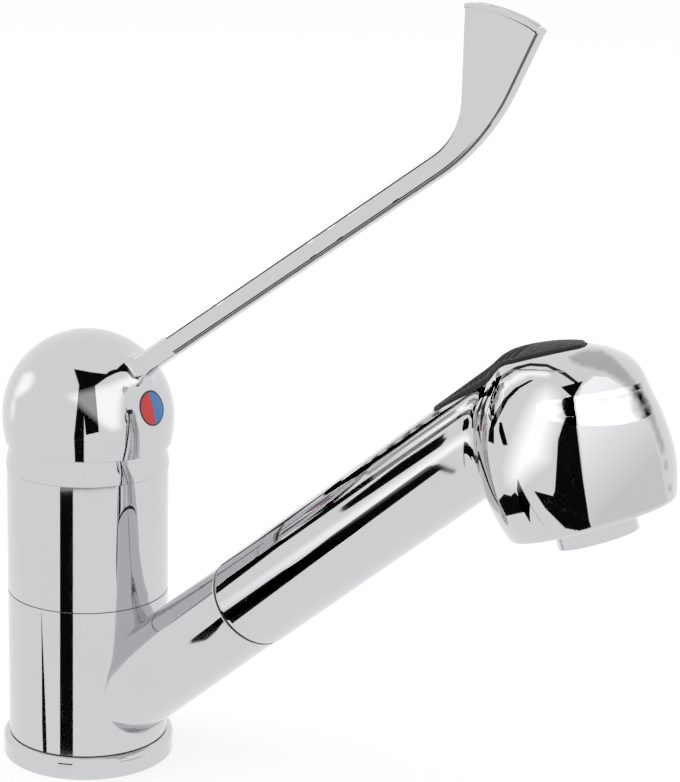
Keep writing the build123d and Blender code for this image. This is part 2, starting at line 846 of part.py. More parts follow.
def check_poppet():
    low = check_seat_at + running_gap
    body = disc(check_poppet_r, low, low + check_poppet_h)
    body += disc(check_stem_r, low, check_start + check_body_len - 0.4)
    return branch_frame * body


def coil(radius, start, end, turns):
    """A round-wire spring along Z that fills the space between two heights."""
    height = end - start - 2 * spring_wire_r
    path = Helix(height / turns, height, radius)
    section = Plane(origin=path @ 0, z_dir=path % 0) * Circle(spring_wire_r)
    return Pos(0, 0, start + spring_wire_r) * sweep(section, path)


def check_spring():
    start = check_seat_at + running_gap + check_poppet_h
    return branch_frame * coil(3.2, start, check_start + check_body_len - check_web, 4)


def waterway_tube():
    body = disc(waterway_r, waterway_start, waterway_end)
    body += disc(tube_bore_r - 0.4, waterway_start, waterway_start + 2)
    return branch_frame * (body - disc(waterway_bore_r, waterway_start - 1, waterway_end + 1))


def diverter_body():
    """Valve block for the spool, with a boss for the waterway and two legs down to the face."""
    body = diverter_frame * disc(diverter_r, -diverter_down, diverter_up)
    under_floor = head_form(-pocket_depth - pocket_floor - seat_gap)
    body += (diverter_frame * disc(shoulder_r, diverter_up - 1, shoulder_top)) & under_floor
    body += (diverter_frame * disc(neck_outer_r, diverter_up, neck_top)) & head_form(-pocket_depth)
    body += branch_frame * disc(waterway_r + 1.4, boss_start, diverter_at - spool_bore_r - 1)
    body += rod(on_rim(0, 0, outlet_leg_h), on_diverter(-1.5), outlet_leg_r)
    body += rim_frame * disc(outlet_spigot_r, cover_seat_h, outlet_leg_h + 2)
    body += rim_frame * block(ear_r * 2, ear_y * 2, boss_top_h, boss_top_h + ear_h)
    for side in (1, -1):
        body += rim_frame * disc(ear_r, boss_top_h, boss_top_h + ear_h, 0, side * ear_y)
    body += rim_frame * disc(spray_leg_r, cover_seat_h, spray_port_h + 2, -spray_leg_x)
    body += rim_frame * block(spray_leg_x - 11, 2 * spray_leg_r - 1, 21, spray_port_h + 2, -(spray_leg_x + 11) / 2)
    body -= diverter_frame * disc(spool_bore_r, -diverter_down + 1.6, shoulder_top - 1)
    body -= diverter_frame * disc(press_stem_r + running_gap, 0, neck_top + 1)
    body -= branch_frame * disc(waterway_r + seat_gap, boss_start - 1, waterway_end)
    body -= rod(branch_frame.from_local_coords((0, 0, boss_start)), on_diverter(0), outlet_bore_r)
    body -= rod(on_rim(0, 0, outlet_leg_h), on_diverter(-1.5), outlet_bore_r)
    body -= rim_frame * disc(outlet_bore_r, cover_seat_h - 1, outlet_leg_h + 0.5)
    body -= rim_frame * disc(spray_bore_r, cover_seat_h - 1, spray_port_h, -spray_leg_x)
    body -= rod(on_diverter(-spray_port_down), on_rim(-spray_leg_x, 0, spray_port_h), spray_bore_r)
    screws = [rim_frame * disc(screw_r, boss_top_h - 1, boss_top_h + 4, 0, side * ear_y) for side in (1, -1)]
    return body - screws


def on_rim(x, y, height):
    return rim_frame.from_local_coords(Vector(x, y, height))


def on_diverter(height):
    return diverter_frame.from_local_coords(Vector(0, 0, height))


def diverter_spool():
    lands = disc(spool_r, -spool_low, -spool_waist_low) + disc(spool_r, spool_waist_high, spool_top)
    body = lands + disc(spool_r * 0.55, -spool_low, spool_top)
    body += disc(press_stem_r, spool_top - 1, stem_joint)
    body += disc(tenon_r, stem_joint, stem_joint + tenon_len)
    for low in spool_seal_heights():
        body -= ring(spool_r + 1, spool_r - seal_wall, low, low + spool_seal_w)
    return diverter_frame * body


def spool_seal_heights():
    lower = -(spool_low + spool_waist_low) / 2 - spool_seal_w / 2
    upper = (spool_waist_high + spool_top) / 2 - spool_seal_w / 2
    return lower, upper


def spool_seals():
    outer = spool_bore_r - running_gap
    rings = [ring(outer, spool_r - seal_wall, low, low + spool_seal_w) for low in spool_seal_heights()]
    return Compound([diverter_frame * one for one in rings])


def selector_spring():
    return diverter_frame * coil(2.4, -diverter_down + 1.6, -spool_low, 4)


def chamber_cover():
    body = disc(face_r, mat_top_h, cover_top_h)
    body -= disc(face_r - chamber_wall, mat_top_h - 1, cover_top_h - chamber_wall)
    body += disc(cover_tube_r, mat_top_h, boss_top_h)
    body += disc(spray_leg_r + 1.2, cover_top_h - 1, boss_top_h, -spray_leg_x)
    for side in (1, -1):
        body += disc(ear_r, cover_top_h - 1, boss_top_h, 0, side * ear_y)
        body -= disc(screw_r, cover_top_h, boss_top_h + 1, 0, side * ear_y)
    body -= disc(outlet_bore_r + 2, 0, boss_top_h + 1)
    body -= disc(outlet_spigot_r + seat_gap, cover_seat_h, boss_top_h + 1)
    body -= disc(spray_bore_r, 0, boss_top_h, -spray_leg_x)
    body -= disc(spray_leg_r + seat_gap, cover_seat_h, boss_top_h + 1, -spray_leg_x)
    return rim_frame * body


def cover_screws():
    screws = []
    for side in (1, -1):
        body = disc(screw_r, cover_top_h + 0.5, boss_top_h + ear_h + 0.5, 0, side * ear_y)
        body += disc(screw_r * 1.8, boss_top_h + ear_h, boss_top_h + ear_h + 1.5, 0, side * ear_y)
        slot = Pos(0, side * ear_y, boss_top_h + ear_h + 1.5) * Box(6, 0.6, 1.2)
        screws.append(rim_frame * (body - slot))
    return Compound(screws)


def nozzle_places():
    places = []
    for radius, count in nozzle_rows:
        places += [(radius * cos(2 * pi * i / count), radius * sin(2 * pi * i / count)) for i in range(count)]
    return places


def spray_face():
    body = ring(face_r, aerator_neck_r + seat_gap, face_recess, face_top_h)
    holes = [disc(nozzle_r + nozzle_wall + seat_gap, -1, face_top_h + 1, x, y) for x, y in nozzle_places()]
    return rim_frame * (body - holes)


def nozzle_mat():
    body = ring(face_r - 0.1, cover_tube_r + 0.1, face_top_h, mat_top_h)
    body += [disc(nozzle_r + nozzle_wall, 0.3, face_top_h + 0.5, x, y) for x, y in nozzle_places()]
    return rim_frame * (body - [disc(nozzle_r, 0, mat_top_h + 1, x, y) for x, y in nozzle_places()])


def aerator_housing():
    low = -aerator_drop
    body = turned([
        (aerator_neck_r - aerator_wall - 0.6, low),
        (aerator_r, low),
        (aerator_r, face_recess),
        (aerator_neck_r, face_recess),
        (aerator_neck_r, face_top_h + 0.6),
        (aerator_neck_r - aerator_wall, face_top_h + 0.6),
        (aerator_neck_r - aerator_wall, low + aerator_recess),
        (aerator_neck_r - aerator_wall - 0.6, low + aerator_recess),
    ])
    return rim_frame * fillet(body.edges().filter_by(GeomType.CIRCLE).sort_by(Axis.Z)[:2], 0.4)


def aerator_insert():
    low = -aerator_drop + aerator_recess
    radius = aerator_neck_r - aerator_wall - seat_gap
    body = disc(radius, low, low + aerator_insert_h)
    body -= disc(radius - 1.0, low + 2.0, low + aerator_insert_h - 2.0)
    holes = [(0, 0)]
    for circle_r, count in ((2.9, 6), (5.8, 12)):
        holes += [(circle_r * cos(2 * pi * i / count), circle_r * sin(2 * pi * i / count)) for i in range(count)]
    return rim_frame * (body - [disc(aerator_hole_r, low - 1, 20, x, y) for x, y in holes])


def aerator_mesh():
    low = -aerator_drop + aerator_recess + aerator_insert_h
    outer = aerator_neck_r - aerator_wall - seat_gap
    body = ring(outer, outer - 0.6, low, low + mesh_h)
    for i in range(-4, 5):
        length = 2 * sqrt((outer - 0.3) ** 2 - (i * mesh_pitch) ** 2)
        body += block(length, mesh_bar, low, low + mesh_h / 2, 0, i * mesh_pitch)
        body += block(mesh_bar, length, low + mesh_h / 2, low + mesh_h, i * mesh_pitch, 0)
    return rim_frame * body


def aerator_seal():
    return rim_frame * ring(aerator_neck_r - 0.1, aerator_neck_r - aerator_wall, face_top_h + 0.6, mat_top_h)


nodes = (
    base_ring, base_gasket, base_plate, lower_slide_ring, upper_slide_ring, valve_body, swivel_stop_pin,
    swivel_body, guide_bush, cartridge_base, cartridge_seals, cartridge_housing, cartridge_nut,
    fixed_disc, moving_disc, disc_carrier, cartridge_rotor, pivot_pin, lever_spindle, collar_ring,
    lever_handle, grub_screw, index_plug, index_red, index_blue, inlet_connector, docking_o_ring,
    connector_seal, check_valve_body, check_poppet, check_spring, waterway_tube, handset_shell,
    selector_pad, pad_carrier, diverter_body, diverter_spool, spool_seals, selector_spring,
    chamber_cover, cover_screws, spray_face, nozzle_mat, aerator_housing, aerator_insert,
    aerator_mesh, aerator_seal,
)
os.makedirs("parts", exist_ok=True)
for node in nodes:
    export_step(node(), f"parts/{node.__name__}.step")
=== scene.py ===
import json
from math import cos, pi, radians, sin, sqrt, tan

import bpy
import numpy as np
from mathutils import Matrix, Vector, geometry


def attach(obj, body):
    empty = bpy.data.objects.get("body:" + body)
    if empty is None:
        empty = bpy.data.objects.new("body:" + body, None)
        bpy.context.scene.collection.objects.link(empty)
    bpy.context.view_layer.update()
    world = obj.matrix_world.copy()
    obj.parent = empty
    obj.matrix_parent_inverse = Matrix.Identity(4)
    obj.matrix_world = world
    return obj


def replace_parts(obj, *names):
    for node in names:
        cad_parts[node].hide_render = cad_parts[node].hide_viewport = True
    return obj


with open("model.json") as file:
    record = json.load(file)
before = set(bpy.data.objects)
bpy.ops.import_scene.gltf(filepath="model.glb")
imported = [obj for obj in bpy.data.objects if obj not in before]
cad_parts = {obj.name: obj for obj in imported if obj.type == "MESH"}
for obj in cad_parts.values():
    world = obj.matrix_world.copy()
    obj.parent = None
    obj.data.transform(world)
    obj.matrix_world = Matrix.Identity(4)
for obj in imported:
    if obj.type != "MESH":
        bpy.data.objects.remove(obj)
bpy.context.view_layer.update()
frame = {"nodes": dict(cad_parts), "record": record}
nodes = frame["nodes"]
scene = bpy.context.scene
scene.view_settings.view_transform = "Standard"


# Camera
camera_at = Vector((0.49983, -0.53587, 0.32561))
camera_target = Vector((0.10051, 0.0, 0.14093))
camera_roll = 1.494
camera_lens = 108.98
sensor_w = 36.0
nearest_seen = 0.01


def add_camera():
    data = bpy.data.cameras.new("camera")
    data.lens = camera_lens
    data.sensor_width = sensor_w
    data.clip_start = nearest_seen
    camera = bpy.data.objects.new("camera", data)
    turn = (camera_target - camera_at).to_track_quat("-Z", "Y").to_matrix().to_4x4()
    roll = Matrix.Rotation(radians(camera_roll), 4, "Z")
    camera.matrix_world = Matrix.Translation(camera_at) @ turn @ roll
    scene.collection.objects.link(camera)
    scene.camera = camera


# Light: a white surround for what the camera and the metal see, and soft lamps for the rest
white = (1.0, 1.0, 1.0, 1.0)
ambient = 0.92
floor_r = 6.0
floor_sides = 64
floor_z = -0.0002
floor_color = (0.8, 0.8, 0.8, 1.0)
floor_glow = 0.66
floor_shade = (1.0 - floor_glow, 1.0 - floor_glow, 1.0 - floor_glow, 1.0)
# Each lamp's place in metres, size in metres and power in watts
lamps = {
    "key": ((0.9, -0.9, 1.5), 1.2, 6.0),
    "left": ((-1.3, -0.5, 1.1), 1.0, 4.0),
    "back": ((0.2, 1.3, 1.3), 1.2, 3.0),
}


def add_world():
    world = bpy.data.worlds.new("studio")
    world.use_nodes = True
    tree = world.node_tree
    tree.nodes.clear()
    out = tree.nodes.new("ShaderNodeOutputWorld")
    mix = tree.nodes.new("ShaderNodeMixShader")
    seen = tree.nodes.new("ShaderNodeBackground")
    lit = tree.nodes.new("ShaderNodeBackground")
    seen.inputs["Color"].default_value = white
    lit.inputs["Color"].default_value = white
    lit.inputs["Strength"].default_value = ambient
    tree.links.new(seen_by_eye_or_metal(tree), mix.inputs[0])
    tree.links.new(lit.outputs[0], mix.inputs[1])
    tree.links.new(seen.outputs[0], mix.inputs[2])
    tree.links.new(mix.outputs[0], out.inputs["Surface"])
    scene.world = world


def seen_by_eye_or_metal(tree):
    """1 for camera, glossy and transmission rays, otherwise 0."""
    path = tree.nodes.new("ShaderNodeLightPath")
    first = tree.nodes.new("ShaderNodeMath")
    second = tree.nodes.new("ShaderNodeMath")
    first.operation = "MAXIMUM"
    second.operation = "MAXIMUM"
    tree.links.new(path.outputs["Is Camera Ray"], first.inputs[0])
    tree.links.new(path.outputs["Is Glossy Ray"], first.inputs[1])
    tree.links.new(first.outputs[0], second.inputs[0])
    tree.links.new(path.outputs["Is Transmission Ray"], second.inputs[1])
    return second.outputs[0]


def add_lamps():
    for name, (place, size, power) in lamps.items():
        data = bpy.data.lights.new(name, "AREA")
        data.shape = "DISK"
        data.size = size
        data.energy = power
        lamp = bpy.data.objects.new(name, data)
        lamp.location = place
        aim = camera_target - Vector(place)
        lamp.rotation_euler = aim.to_track_quat("-Z", "Y").to_euler()
        lamp.visible_glossy = False
        scene.collection.objects.link(lamp)


def add_floor():
    mesh = bpy.data.meshes.new("floor")
    angles = [2 * pi * i / floor_sides for i in range(floor_sides)]
    ring = [(floor_r * cos(angle), floor_r * sin(angle), floor_z) for angle in angles]
    mesh.from_pydata(ring, [], [tuple(range(floor_sides))])
    floor = bpy.data.objects.new("floor", mesh)
    scene.collection.objects.link(floor)
    material = bpy.data.materials.new("floor")
    material.use_nodes = True
    tree = material.node_tree
    tree.nodes.clear()
    out = tree.nodes.new("ShaderNodeOutputMaterial")
    mix = tree.nodes.new("ShaderNodeMixShader")
    add = tree.nodes.new("ShaderNodeAddShader")
    plain = tree.nodes.new("ShaderNodeBsdfDiffuse")
    shade = tree.nodes.new("ShaderNodeBsdfDiffuse")
    glow = tree.nodes.new("ShaderNodeEmission")
    plain.inputs["Color"].default_value = floor_color
    shade.inputs["Color"].default_value = floor_shade
    glow.inputs["Strength"].default_value = floor_glow
    tree.links.new(shade.outputs[0], add.inputs[0])
    tree.links.new(glow.outputs[0], add.inputs[1])
    tree.links.new(seen_by_eye_or_metal(tree), mix.inputs[0])
    tree.links.new(plain.outputs[0], mix.inputs[1])
    tree.links.new(add.outputs[0], mix.inputs[2])
    tree.links.new(mix.outputs[0], out.inputs["Surface"])
    mesh.materials.append(material)
    floor.visible_glossy = False


# Materials
class Finish:
    """A principled material with room for a few texture nodes."""

    def __init__(self, name, color, roughness, metallic=0.0, coat=0.0):
        self.material = bpy.data.materials.new(name)
        self.material.use_nodes = True
        self.tree = self.material.node_tree
        self.shader = self.tree.nodes["Principled BSDF"]
        self.color = color
        self.shader.inputs["Base Color"].default_value = (*color, 1.0)
        self.shader.inputs["Roughness"].default_value = roughness
        self.shader.inputs["Metallic"].default_value = metallic
        self.shader.inputs["Coat Weight"].default_value = coat
        self.place = self.tree.nodes.new("ShaderNodeTexCoord").outputs["Object"]

    def noise(self, scale, detail=3.0, stretch=None):
        texture = self.tree.nodes.new("ShaderNodeTexNoise")
        texture.inputs["Scale"].default_value = scale
        texture.inputs["Detail"].default_value = detail
        place = self.place
        if stretch:
            mapping = self.tree.nodes.new("ShaderNodeMapping")
            mapping.inputs["Scale"].default_value = stretch
            self.tree.links.new(self.place, mapping.inputs["Vector"])
            place = mapping.outputs["Vector"]
        self.tree.links.new(place, texture.inputs["Vector"])
        return texture.outputs["Fac"]

    def between(self, value, low, high):
        span = self.tree.nodes.new("ShaderNodeMapRange")
        span.inputs["From Min"].default_value = 0.3
        span.inputs["From Max"].default_value = 0.7
        span.inputs["To Min"].default_value = low
        span.inputs["To Max"].default_value = high
        self.tree.links.new(value, span.inputs["Value"])
        return span.outputs["Result"]

    def vary_roughness(self, value, low, high):
        self.tree.links.new(self.between(value, low, high), self.shader.inputs["Roughness"])

    def vary_color(self, value, low, high):
        mix = self.tree.nodes.new("ShaderNodeMix")
        mix.data_type = "RGBA"
        mix.inputs["A"].default_value = (*[c * low for c in self.color], 1.0)
        mix.inputs["B"].default_value = (*[c * high for c in self.color], 1.0)
        self.tree.links.new(self.between(value, 0.0, 1.0), mix.inputs["Factor"])
        self.tree.links.new(mix.outputs["Result"], self.shader.inputs["Base Color"])

    def bump(self, value, distance):
        node = self.tree.nodes.new("ShaderNodeBump")
        node.inputs["Distance"].default_value = distance
        node.inputs["Strength"].default_value = 1.0
        self.tree.links.new(value, node.inputs["Height"])
        self.tree.links.new(node.outputs["Normal"], self.shader.inputs["Normal"])


def chrome():
    finish = Finish("chrome", (0.62, 0.62, 0.635), 0.03, metallic=1.0)
    finish.vary_roughness(finish.noise(90.0, 4.0), 0.02, 0.05)
    finish.vary_color(finish.noise(35.0, 2.0), 0.985, 1.0)
    return finish.material


def brass():
    finish = Finish("brass", (0.62, 0.45, 0.20), 0.28, metallic=1.0)
    finish.vary_roughness(finish.noise(300.0, 3.0), 0.2, 0.38)
    finish.vary_color(finish.noise(60.0, 3.0), 0.85, 1.05)
    return finish.material


def steel():
    finish = Finish("steel", (0.55, 0.55, 0.56), 0.25, metallic=1.0)
    finish.vary_roughness(finish.noise(400.0, 2.0, (1.0, 1.0, 12.0)), 0.18, 0.34)
    return finish.material


def rubber():
    finish = Finish("rubber", (0.012, 0.012, 0.013), 0.5)
    finish.shader.inputs["Specular IOR Level"].default_value = 0.2
    finish.vary_roughness(finish.noise(900.0, 3.0), 0.42, 0.62)
    finish.vary_color(finish.noise(150.0, 3.0), 0.8, 1.25)
    finish.bump(finish.noise(2200.0, 2.0), 0.00004)
    return finish.material


def plastic(name, color, low, high, grain):
    finish = Finish(name, color, low)
    finish.vary_roughness(finish.noise(500.0, 2.0), low, high)
    finish.vary_color(finish.noise(60.0, 2.0), 0.94, 1.02)
    finish.bump(finish.noise(1600.0, 2.0), grain)
    return finish.material


def ceramic():
    finish = Finish("ceramic", (0.82, 0.81, 0.78), 0.2, coat=0.2)
    finish.vary_roughness(finish.noise(700.0, 2.0), 0.16, 0.26)
    finish.vary_color(finish.noise(120.0, 2.0), 0.96, 1.0)
    return finish.material


finishes = {
    "chrome": chrome(),
    "brass": brass(),
    "steel": steel(),
    "rubber": rubber(),
    "ceramic": ceramic(),
    "white_plastic": plastic("white_plastic", (0.72, 0.72, 0.69), 0.35, 0.48, 0.00002),
    "black_plastic": plastic("black_plastic", (0.016, 0.016, 0.017), 0.3, 0.45, 0.00002),
    "grey_plastic": plastic("grey_plastic", (0.30, 0.31, 0.33), 0.25, 0.38, 0.00001),
    "red_plastic": plastic("red_plastic", (0.56, 0.035, 0.04), 0.12, 0.2, 0.000004),
    "blue_plastic": plastic("blue_plastic", (0.045, 0.19, 0.44), 0.12, 0.2, 0.000004),
}


def finish_nodes():
    for part in frame["record"]["subparts"]:
        obj = nodes[part["node"]]
        material = finishes[part["material_slot"]]
        for slot in obj.material_slots:
            slot.material = material


# Forms of the smooth chrome pieces, in millimetres: functions that give about how far points are from them
millimetre = 0.001
branch_angle = 39.94
branch_root = (0.0, 0.0, 10.2)
tube_start = 89.6
tube_len = 128.0
tube_rear_r = 14.95
tube_front_r = 14.5
outlet_angle = 22.1
rim_behind = 2.4
rim_below = 36.46
rim_r = 23.15
bell_r = 26.6
bell_widest_h = 16.0
bell_h = 45.2
bell_power = 1.9
bell_fullness = 0.22
rim_round = 1.6
crown_ahead = 4.18
crown_below = 6.21
crown_angle = 3.0
crown_r = 20.0
crown_rise = 10.1
crown_edge = 7.0
crown_blend = 6.0
neck_blend = 4.0
on_form_within = 0.02
least_agreement = 0.7


def lean(angle):
    """A direction in the tap's middle plane, at an angle above X."""
    return np.array([cos(radians(angle)), 0.0, sin(radians(angle))])


branch_dir = lean(branch_angle)
branch_up = lean(branch_angle + 90)
outlet_up = lean(outlet_angle + 90)
outlet_ahead = lean(outlet_angle)
crown_up = lean(crown_angle + 90)
sideways = np.array([0.0, 1.0, 0.0])
tube_root = np.array(branch_root) + tube_start * branch_dir
rim_at = tube_root + (tube_len - rim_behind) * branch_dir - rim_below * branch_up
crown_at = rim_at + crown_ahead * outlet_ahead + (bell_h - crown_below) * outlet_up


def along_and_off(points, origin, axis):
    """Distance along an axis and distance off it."""
    q = points - origin
    along = q @ axis
    off = np.linalg.norm(q - along[..., None] * axis, axis=-1)
    return along, off


def soft_union(a, b, reach):
    """Two forms joined with a blend between them."""
    share = np.maximum(reach - np.abs(a - b), 0) / reach
    return np.minimum(a, b) - share ** 3 * reach / 6


def tube_form(points):
    along, off = along_and_off(points, tube_root, branch_dir)
    taper = (tube_front_r - tube_rear_r) * np.clip(along / tube_len, 0, 1)
    nose = np.hypot(off, along - tube_len) - tube_front_r
    return np.where(along > tube_len, nose, off - tube_rear_r - taper)


def bell_form(points):
    along, off = along_and_off(points, rim_at, outlet_up)
    swell = bell_r - rim_r
    low = np.clip(along / bell_widest_h, -0.2, 1)
    radius = rim_r + swell * (1 - (1 - low) ** 2)
    widening = np.where(along < bell_widest_h, 2 * swell * (1 - low) / bell_widest_h, 0)
    upper_h = bell_h - bell_widest_h
    share = np.clip((along - bell_widest_h) / upper_h, 0, 3)
    power = 1 / bell_fullness
    ratio = off / radius
    value = ratio ** power + share ** bell_power - 1
    slope_out = power * ratio ** (power - 1) / radius
    slope_up = bell_power * share ** (bell_power - 1) / upper_h - power * ratio ** power / radius * widening
    return np.maximum(value / np.maximum(np.hypot(slope_out, slope_up), 0.03), -12)


def crown_form(points):
    along, off = along_and_off(points, crown_at, crown_up)
    inner = crown_r - crown_edge
    top_r = (inner ** 2 + crown_rise ** 2 - crown_edge ** 2) / (2 * (crown_rise - crown_edge))
    share = crown_edge / (top_r - crown_edge)
    join_r = inner * (1 + share)
    drop = crown_rise - top_r
    join_z = -drop * share
    on_cap = (off * (join_z - drop) < (along - drop) * join_r) & (along > 0)
    cap = np.hypot(off, along - drop) - top_r
    edge = np.hypot(np.maximum(off - inner, 0), along) - crown_edge
    return np.where(on_cap, cap, edge)


def head_form(points):
    bell_and_crown = soft_union(bell_form(points), crown_form(points), crown_blend)
    return soft_union(bell_and_crown, tube_form(points), neck_blend)


def slope(form, points, step=0.02):
    """The outward direction of a form at some points."""
    parts = []
    for axis in np.eye(3):
        parts.append(form(points + step * axis) - form(points - step * axis))
    normal = np.stack(parts, axis=-1)
    return normal / np.linalg.norm(normal, axis=-1, keepdims=True)


def cast(form, starts, ways, reach, level=0.0):
    """Where rays that start inside a form leave it."""
    low = np.zeros(starts.shape[:-1])
    high = np.broadcast_to(reach, low.shape).copy()
    for _ in range(26):
        middle = (low + high) / 2
        inside = form(starts + middle[..., None] * ways) < level
        low = np.where(inside, middle, low)
        high = np.where(inside, high, middle)
    return starts + high[..., None] * ways


def grid_faces(rows, columns, closed=True):
    """Quads between neighbouring rows of points, each row a ring where closed."""
    faces = []
    last = columns if closed else columns - 1
    for row in range(rows - 1):
        for column in range(last):
            a = row * columns + column
            b = row * columns + (column + 1) % columns
            faces.append((a, a + columns, b + columns, b))
    return faces


def capped_faces(rows, columns):
    """Quads between rings of points, with a face over the first ring and one over the last."""
    faces = grid_faces(rows, columns)
    faces.append(tuple(range(columns)))
    faces.append(tuple(reversed(range((rows - 1) * columns, rows * columns))))
    return faces


def facing_out(points, faces):
    """The faces of a closed skin, turned round where they face inwards."""
    volume = 0.0
    for face in faces:
        start = points[face[0]]
        for second, third in zip(face[1:], face[2:]):
            volume += float(start @ np.cross(points[second], points[third]))
    return faces if volume > 0 else [face[::-1] for face in faces]


def new_piece(name, points, faces, body, slot):
    """A piece from points in millimetres, which rides on a body and takes a slot's finish."""
    points = np.asarray(points)
    faces = facing_out(points, faces)
    mesh = bpy.data.meshes.new(name)
    mesh.from_pydata((points * millimetre).tolist(), [], faces)
    mesh.update()
    piece = bpy.data.objects.new(name, mesh)
    scene.collection.objects.link(piece)
    mesh.materials.append(finishes[slot])
    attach(piece, body)
    return piece


def shade_by_form(piece, form):
    """Smooth shading that follows the form where a face lies on it, and flat faces elsewhere."""
    mesh = piece.data
    mesh.shade_smooth()
    points = np.empty(len(mesh.vertices) * 3)
    mesh.vertices.foreach_get("co", points)
    points = points.reshape(-1, 3) / millimetre
    outward = slope(form, points)
    on_form = np.abs(form(points)) < on_form_within
    face_normals = np.empty(len(mesh.polygons) * 3)
    mesh.polygons.foreach_get("normal", face_normals)
    face_normals = face_normals.reshape(-1, 3)
    corners = np.empty(len(mesh.loops), dtype=int)
    mesh.loops.foreach_get("vertex_index", corners)
    sizes = np.empty(len(mesh.polygons), dtype=int)
    mesh.polygons.foreach_get("loop_total", sizes)
    owner = np.repeat(np.arange(len(sizes)), sizes)
    flat = face_normals[owner]
    smooth = outward[corners]
    follows = on_form[corners] & (np.sum(flat * smooth, axis=1) > least_agreement)
    normals = np.where(follows[:, None], smooth, flat)
    mesh.normals_split_custom_set(normals.tolist())


# The handset's shell: sections across the tube, then turned about a line below the neck, then
# across the bell
ring_points = 160
tube_rows = 60
neck_rows = 112
bell_rows = 9
pivot_along = 99.5
pivot_below = 18.0
end_round = 0.45
end_round_len = 1.6
tube_bore_r = 12.5
rim_inner_r = 20.6
head_wall = 2.4
pivot_margin = 0.3
furthest = 60.0
rim_steps = 6
rim_step_in = 0.1


def shell_sections():
    """Centre, first direction and room behind the centre of each section of the shell."""
    pivot = tube_root + pivot_along * branch_dir - pivot_below * branch_up
    pivot_h = (pivot - rim_at) @ outlet_up
    pivot_back = -(pivot - rim_at) @ outlet_ahead
    sections = []
    for i in range(tube_rows):
        along = end_round_len + (pivot_along - end_round_len) * i / tube_rows
        sections.append((tube_root + along * branch_dir, branch_up, pivot_below - pivot_margin))
    turn = branch_angle + 90 - outlet_angle
    for i in range(neck_rows + 1):
        share = i / neck_rows
        out = lean(branch_angle + 90 - turn * share)
        back = pivot_below + (pivot_back - pivot_below) * share
        sections.append((pivot + back * out, out, back - pivot_margin))
    for i in range(1, bell_rows + 1):
        height = pivot_h + (2 * rim_round - pivot_h) * i / bell_rows
        sections.append((rim_at + height * outlet_up, outlet_ahead, pivot_back))
    return sections


def ring_about(centre, out, radius):
    angles = 2 * pi * np.arange(ring_points) / ring_points
    ways = np.cos(angles)[:, None] * out + np.sin(angles)[:, None] * sideways
    return centre + radius * ways


def handset_shell():
    """One closed skin: out of the bore, over the outside, round the rim and back along the inside."""
    angles = 2 * pi * np.arange(ring_points) / ring_points
    rows = []
    rows.append(ring_about(tube_root, branch_up, tube_bore_r))
    rows.append(ring_about(tube_root, branch_up, tube_rear_r - end_round))
    starts = []
    ways = []
    reaches = []
    for centre, out, room in shell_sections():
        way = np.cos(angles)[:, None] * out + np.sin(angles)[:, None] * sideways
        starts.append(np.broadcast_to(centre, way.shape))
        ways.append(way)
        reaches.append(np.minimum(furthest, room / np.maximum(-np.cos(angles), 1e-6)))
    rays = (np.array(starts), np.array(ways), np.array(reaches))
    rows += list(cast(head_form, *rays))
    inside = cast(head_form, *rays, -head_wall)
    side = rim_r + (bell_r - rim_r) * 2 * rim_round / bell_widest_h * (1 - rim_round / bell_widest_h)
    for i in range(1, rim_steps + 1):
        angle = pi / 2 * i / rim_steps
        radius = side - rim_round * (1 - cos(angle)) - rim_step_in * i
        rows.append(ring_about(rim_at + rim_round * (1 - sin(angle)) * outlet_up, outlet_ahead, radius))
    rows.append(ring_about(rim_at, outlet_ahead, rim_inner_r))
    rows += list(inside[::-1])
    rows.append(rows[0])
    points = np.concatenate(rows)
    faces = grid_faces(len(rows), ring_points)
    return new_piece("handset_shell_form", points, faces, "handset", "chrome")


# The ribbed pad on the crown and the pocket that it moves in, in the pad's own frame
pad_angle = 28.3
pad_behind = 40.6
pad_below = 4.32
pad_len = 53.0
pad_rear_w = 7.2
pad_wide = (38.0, 13.0)
pad_front = (47.0, 9.6)
pad_proud = 0.6
pad_depth = 2.0
pad_side_gap = 0.35
pocket_depth = 4.7
pad_edge_round = 0.7
rib_start = 4.5
rib_pitch = 2.4
rib_w = 0.9
rib_count = 15
rib_depth = 0.6
rib_border = 1.6
pad_end = 2.0
below_pad = 16.0
pad_reach = 44.0
above_pocket = 4.0
pad_ahead = lean(pad_angle)
pad_up = lean(pad_angle + 90)
pad_at = rim_at - pad_behind * outlet_ahead + (bell_h - pad_below) * outlet_up


def circle_through(first, second, third):
    """Centre and radius of the circle through three points."""
    a, b, c = (complex(*p) for p in (first, second, third))
    w = (c - a) / (b - a)
    centre = (b - a) * (w - abs(w) ** 2) / (2j * w.imag) + a
    return centre, abs(centre - a)


def pad_half_width(u, extra=0.0):
    """Half the pad's width at a distance from its rear end."""
    rear = np.sqrt(np.maximum((pad_rear_w + extra) ** 2 - (pad_rear_w - u) ** 2, 0))
    rise = (pad_wide[1] - pad_rear_w) / (pad_wide[0] - pad_rear_w)
    side = pad_rear_w + rise * (u - pad_rear_w) + extra * sqrt(1 + rise ** 2)
    centre, radius = circle_through(pad_wide, pad_front, (pad_len, 0.0))
    room = np.maximum((radius + extra) ** 2 - (u - centre.real) ** 2, 0)
    nose = np.maximum(centre.imag + np.sqrt(room), 0)
    width = np.where(u < pad_rear_w, rear, side)
    return np.where(u > pad_wide[0], np.minimum(nose, side), width)


def pad_stations(extra, step):
    """Distances along the pad, closer together at its two ends."""
    middle = np.arange(pad_end, pad_len - pad_end, step)
    close = 0.02 + (pad_end + extra) * (1 - np.cos(np.linspace(0, pi / 2, 9)))[:-1]
    return np.concatenate([close - extra, middle, (pad_len + extra - close)[::-1]])


